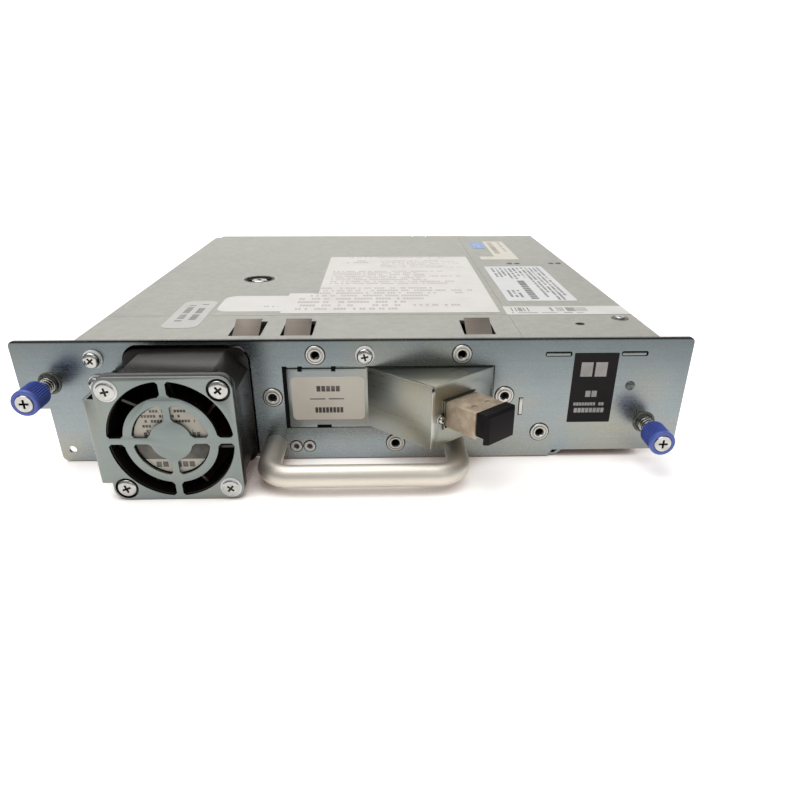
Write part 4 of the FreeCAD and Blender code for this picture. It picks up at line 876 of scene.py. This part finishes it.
def ferrule(name):
    """A steel collar pressed into the panel: flange, short barrel and rolled mouth."""
    lathe(40, [(3.7, -0.1), (3.75, 0.15), (3.6, 0.4), (3.2, 0.5), (3.1, 0.8), (3.1, 1.7), (3.0, 1.9),
               (2.8, 1.9), (2.72, 1.7), (2.72, 0.0)], hollow=True)
    # the collar is coated dark grey as painted shade under the knob
    return settle(name, "sled", dark_grey_shade, 30)


for side in ("left", "right"):
    low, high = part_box(side + "_knob")
    x, z = (low.x + high.x) / 2 / MM, (low.z + high.z) / 2 / MM
    for maker, node in ((knob, "knob"), (thumb_insert, "screw"), (thumb_spring, "spring")):
        made = maker(f"{side}_{node}_detail", side)
        made.data.transform(on_panel(x, z))
        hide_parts(f"{side}_{node}")
        if node == "spring":
            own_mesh(made)
    made = ferrule(f"{side}_ferrule")
    made.data.transform(on_panel(x, z))


# ==== Labels ================================================================================
# Polyester, paper and foil labels 0.1 mm thick, stuck on. They carry rows of marks where print
# would be, and no words: a row is cells of one letter's width, filled or left open at random.
# Paper is half matt and a little warm. Polyester and foil shine more, but for a matt black one.
def greeked(tree, place, corner, across, down, size, letter, pitch, fill=0.72, ragged=0.45):
    """Where ink lies in a block of rows: 1 or 0. Corner, size, letter and pitch in millimetres."""
    local = add(tree, "VectorMath", {"operation": "SUBTRACT", 1: [c * MM for c in corner]}, {0: place})
    u = add(tree, "VectorMath", {"operation": "DOT_PRODUCT", 1: [c / letter / MM for c in across]},
            {0: local.outputs["Vector"]})
    v = add(tree, "VectorMath", {"operation": "DOT_PRODUCT", 1: [c / pitch / MM for c in down]},
            {0: local.outputs["Vector"]})
    uv = add(tree, "CombineXYZ", {"Z": corner[0] + corner[1]},
             {"X": u.outputs["Value"], "Y": v.outputs["Value"]})
    cell = add(tree, "VectorMath", {"operation": "FLOOR"}, {0: uv.outputs["Vector"]})
    chance = add(tree, "TexWhiteNoise", None, {"Vector": cell.outputs["Vector"]})
    row = add(tree, "VectorMath", {"operation": "MULTIPLY", 1: (0, 1, 1)}, {0: cell.outputs["Vector"]})
    length = add(tree, "TexWhiteNoise", None, {"Vector": row.outputs["Vector"]})
    columns, rows = size[0] / letter, size[1] / pitch
    end = add(tree, "MapRange", {"To Min": columns * (1 - ragged), "To Max": columns},
              {"Value": length.outputs["Value"]})
    part = add(tree, "VectorMath", {"operation": "FRACTION"}, {0: uv.outputs["Vector"]})
    inner = add(tree, "SeparateXYZ", None, {"Vector": part.outputs["Vector"]})
    ink = None
    for kind, value, limit in (
            ("LESS_THAN", chance.outputs["Value"], fill),
            ("LESS_THAN", u.outputs["Value"], end.outputs["Result"]),
            ("GREATER_THAN", u.outputs["Value"], 0.0), ("GREATER_THAN", v.outputs["Value"], 0.0),
            ("LESS_THAN", v.outputs["Value"], float(round(rows))), ("LESS_THAN", inner.outputs["Y"], 0.55),
            ("LESS_THAN", inner.outputs["X"], 0.82)):
        links = {0: value}
        settings = {"operation": kind}
        if isinstance(limit, float):
            settings[1] = limit
        else:
            links[1] = limit
        test = add(tree, "Math", settings, links).outputs["Value"]
        if ink is None:
            ink = test
        else:
            ink = add(tree, "Math", {"operation": "MULTIPLY"}, {0: ink, 1: test}).outputs["Value"]
    return ink


def printed(name, paper, shade, ink, roughness, blocks, gloss=0.5):
    """Label stock with blocks of greeked rows, each (corner, across, down, size, letter, pitch)."""
    material, tree, shader, place = coat(name, 0.0, roughness, gloss=gloss)
    cloud = add(tree, "TexNoise", {"Scale": 70.0, "Detail": 4.0}, {"Vector": place})
    tone = add(tree, "ValToRGB", {"stops": [(0.35, shade), (0.6, paper)]}, {"Fac": cloud.outputs["Fac"]})
    marks = greeked(tree, place, *blocks[0])
    for lines in blocks[1:]:
        more = greeked(tree, place, *lines)
        marks = add(tree, "Math", {"operation": "MAXIMUM"}, {0: marks, 1: more}).outputs["Value"]
    # the ink is rubbed thinner in patches
    worn = add(tree, "TexNoise", {"Scale": 120.0, "Detail": 3.0}, {"Vector": place})
    share = add(tree, "MapRange", {"From Min": 0.3, "From Max": 0.6, "To Min": 0.7, "To Max": 1.0},
                {"Value": worn.outputs["Fac"]})
    strength = add(tree, "Math", {"operation": "MULTIPLY"}, {0: marks, 1: share.outputs["Result"]})
    mixed = add(tree, "Mix", {"data_type": "RGBA", 7: linear(ink)},
                {0: strength.outputs["Value"], 6: tone.outputs["Color"]})
    fibre = add(tree, "TexNoise", {"Scale": 1200.0, "Detail": 3.0}, {"Vector": place})
    rough = add(tree, "MapRange", {"To Min": roughness - 0.08, "To Max": roughness + 0.1},
                {"Value": fibre.outputs["Fac"]})
    join(tree, shader, Base_Color=mixed.outputs[2], Roughness=rough.outputs["Result"])
    return material


def label(name, low, high, rounding, material, matrix, step=None):
    """A label between two corners in millimetres. A step (x, y) is its lower band's top edge,
    from which the rest rises right of x."""
    clear()
    top = step[1] if step else high[1]
    bpy.ops.mesh.primitive_plane_add(size=1.0)
    bpy.ops.transform.resize(value=((high[0] - low[0]) * MM, (top - low[1]) * MM, 1))
    bpy.ops.transform.translate(value=((low[0] + high[0]) / 2 * MM, (low[1] + top) / 2 * MM, 0))
    bpy.ops.object.transform_apply(location=True, scale=True)
    bpy.ops.object.mode_set(mode="EDIT")
    bpy.ops.mesh.select_all(action="SELECT")
    if step:
        bpy.ops.mesh.bisect(plane_co=(step[0] * MM, 0, 0), plane_no=(1, 0, 0))
        pick("edges", lambda e: min(v.co.y for v in e.verts) > (top - 0.01) * MM
             and min(v.co.x for v in e.verts) > (step[0] - 0.01) * MM)
        bpy.ops.mesh.extrude_edges_move(TRANSFORM_OT_translate={"value": (0, (high[1] - top) * MM, 0)})
    elif rounding:
        bpy.ops.mesh.bevel(offset=rounding * MM, segments=6, affect="VERTICES")
    bpy.ops.mesh.select_all(action="SELECT")
    bpy.ops.mesh.extrude_region_move(TRANSFORM_OT_translate={"value": (0, 0, 0.1 * MM)})
    bpy.ops.mesh.select_all(action="SELECT")
    bpy.ops.mesh.normals_make_consistent(inside=False)
    piece = settle(name, "sled", material, 40)
    piece.data.transform(matrix)


# the ways that rows run and follow each other: along X, towards the panel, and down
RIGHT, NEAR, DOWN = (1, 0, 0), (0, -1, 0), (0, 0, -1)


def top_at(x, y):
    """A place on the covers in the part's millimetres, from one measured back from the panel."""
    return (x, y + front_mm, 0)


on_cover = Matrix.Translation((0, panel_front, cover_top - 0.03 * MM))

service_white = printed("service_label_paper", "#D0CCC7", "#CAC5C0", "#AAA6A2", 0.5, [
    (top_at(-8, 141.5), RIGHT, NEAR, (56, 3.0), 1.3, 3.0),
    (top_at(-12, 134), RIGHT, NEAR, (14, 10), 1.6, 4.6),
    (top_at(8, 134), RIGHT, NEAR, (42, 18), 0.9, 2.4),
    (top_at(-14, 108), RIGHT, NEAR, (62, 28), 1.0, 3.6),
    (top_at(-20, 74), RIGHT, NEAR, (68, 16), 1.1, 4.4),
    (top_at(-24, 56), RIGHT, NEAR, (66, 20), 1.2, 5.2)])
label("service_label", (-28.8, 33.0), (51.7, 143.0), 0, service_white, on_cover,
      (-17.3, 64.0))
blank_white = printed("blank_label_paper", "#D0CDC9", "#CBC8C4", "#A09C98", 0.45, [
    (top_at(-36, 44), RIGHT, NEAR, (8, 3), 1.0, 3.0)])
label("blank_label", (-53.0, 36.0), (-24.0, 60.0), 5.0, blank_white,
      Matrix.Translation((0, panel_front, cover_top - 0.07 * MM)))

silver = printed("silver_polyester", "#B0B1AC", "#A9AAA5", "#4A4743", 0.34, [
    (top_at(-64.2, 47), NEAR, RIGHT, (25, 9.0), 1.5, 4.5, 0.8, 0.2)])
label("silver_label", (-67.0, 14.6), (-54.4, 52.0), 3.5, silver, on_cover)

rating = printed("rating_label_polyester", "#CACBCB", "#C4C5C5", "#303030", 0.4, [
    (top_at(60, 114), NEAR, RIGHT, (25, 14.0), 1.1, 2.0, 0.8),
    (top_at(74.2, 115), NEAR, RIGHT, (64, 10.0), 1.0, 1.9, 0.85, 0.2),
    (top_at(60, 68), NEAR, RIGHT, (16, 6.0), 1.1, 2.0, 0.85),
    (top_at(67.5, 86), NEAR, RIGHT, (34, 5.6), 3.4, 5.6, 0.8, 0.0)])
label("rating_label", (57.5, 49.8), (85.0, 117.5), 0.8, rating, on_cover)

bar_label = printed("bar_label_paper", "#CBC8C5", "#C6C3BF", "#4A4542", 0.45, [
    (top_at(56, 39.6), RIGHT, NEAR, (11, 5.6), 0.5, 10.0, 0.5),
    (top_at(71, 39.6), RIGHT, NEAR, (25, 5.6), 0.5, 10.0, 0.5),
    (top_at(56, 32.6), RIGHT, NEAR, (36, 1.6), 0.8, 1.6)])
label("bar_label", (53.8, 29.6), (99.0, 41.4), 0.4, bar_label,
      Matrix.Translation((0, panel_front, cover_top - 0.02 * MM)))

cream = printed("cream_label_paper", "#CAC5B9", "#C5BFB2", "#857A67", 0.45, [
    (top_at(68.4, 187), NEAR, RIGHT, (49, 5.0), 0.9, 5.0, 0.9),
    (top_at(74.4, 187), NEAR, RIGHT, (47, 2.2), 1.0, 2.2),
    (top_at(62, 139), RIGHT, NEAR, (3, 1.4), 0.7, 1.4)])
label("cream_label", (58.8, 135.0), (78.0, 190.2), 0, cream, on_cover, (66.5, 143.5))
blue_stock = printed("blue_label_polyester", "#7696C4", "#6C8CBA", "#A0B2D0", 0.4, [
    (top_at(60, 183), NEAR, RIGHT, (12, 4), 1.2, 2.0)])
label("blue_label", (58.6, 167.0), (65.8, 188.0), 3.0, blue_stock, on_cover)

# the fan's rating label is foil, pale over and under a dark band
foil = printed("printed_foil", "#B4AEA1", "#A59F93", "#120E0B", 0.34, [
    ((fan_x - 8.0, front_mm, fan_z + 9.6), RIGHT, DOWN, (16, 8.0), 0.9, 1.6, 0.75),
    ((fan_x - 8.0, front_mm, fan_z + 2.4), RIGHT, DOWN, (17, 2.6), 1.3, 2.6, 0.95, 0.0),
    ((fan_x - 11.4, front_mm, fan_z - 1.4), RIGHT, DOWN, (28.0, 9.4), 28.0, 9.4, 1.1, 0.0),
    ((fan_x - 6.0, front_mm, fan_z - 7.4), RIGHT, DOWN, (12, 3.4), 2.0, 3.4, 0.8, 0.0)])
lathe(64, [(11.1, 0.0), (11.15, 0.04), (11.1, 0.1), (5.0, 0.12)])
set_out("hub_label", foil, 30, [on_panel(fan_x, fan_z, out=fan_out - 0.3)])

# the two labels of the panel stand upright: their X is the panel's, their Y its height
upright = Matrix.Rotation(math.radians(90), 4, "X")
black_stock = printed("black_polyester", "#120F0F", "#171413", "#A5A19E", 0.6, [
    ((74.0, front_mm, 34.6), RIGHT, DOWN, (9.6, 9.0), 4.8, 9.0, 1.1, 0.0),
    ((76.6, front_mm, 24.6), RIGHT, DOWN, (4.2, 4.0), 2.1, 4.0, 1.1, 0.0),
    ((73.0, front_mm, 20.4), RIGHT, DOWN, (11.4, 2.0), 0.95, 2.0, 0.86, 0.0),
    ((73.4, front_mm, 18.4), RIGHT, DOWN, (10.4, 3.0), 1.3, 3.0, 0.9, 0.0)], gloss=0.2)
label("panel_label", (71.4, 13.2), (86.1, 37.8), 0.3, black_stock,
      Matrix.Translation((0, panel_front + 0.03 * MM, 0)) @ upright)
plate_y = panel_front + 0.25 * MM
white_stock = printed("white_polyester", "#C9C2B6", "#C3BBAF", "#2A2624", 0.42, [
    ((-13.6, front_mm, 27.0), RIGHT, DOWN, (8.0, 3.6), 1.6, 3.6, 0.9, 0.0),
    ((-16.0, front_mm, 22.6), RIGHT, DOWN, (12.6, 0.7), 6.3, 0.7, 1.1, 0.0),
    ((-14.4, front_mm, 19.4), RIGHT, DOWN, (9.6, 3.6), 1.2, 3.6, 0.9, 0.0)])
label("port_label", (-22.0, 14.9), (2.3, 30.2), 1.6, white_stock,
      Matrix.Translation((0, plate_y + 0.03 * MM, 0)) @ upright)
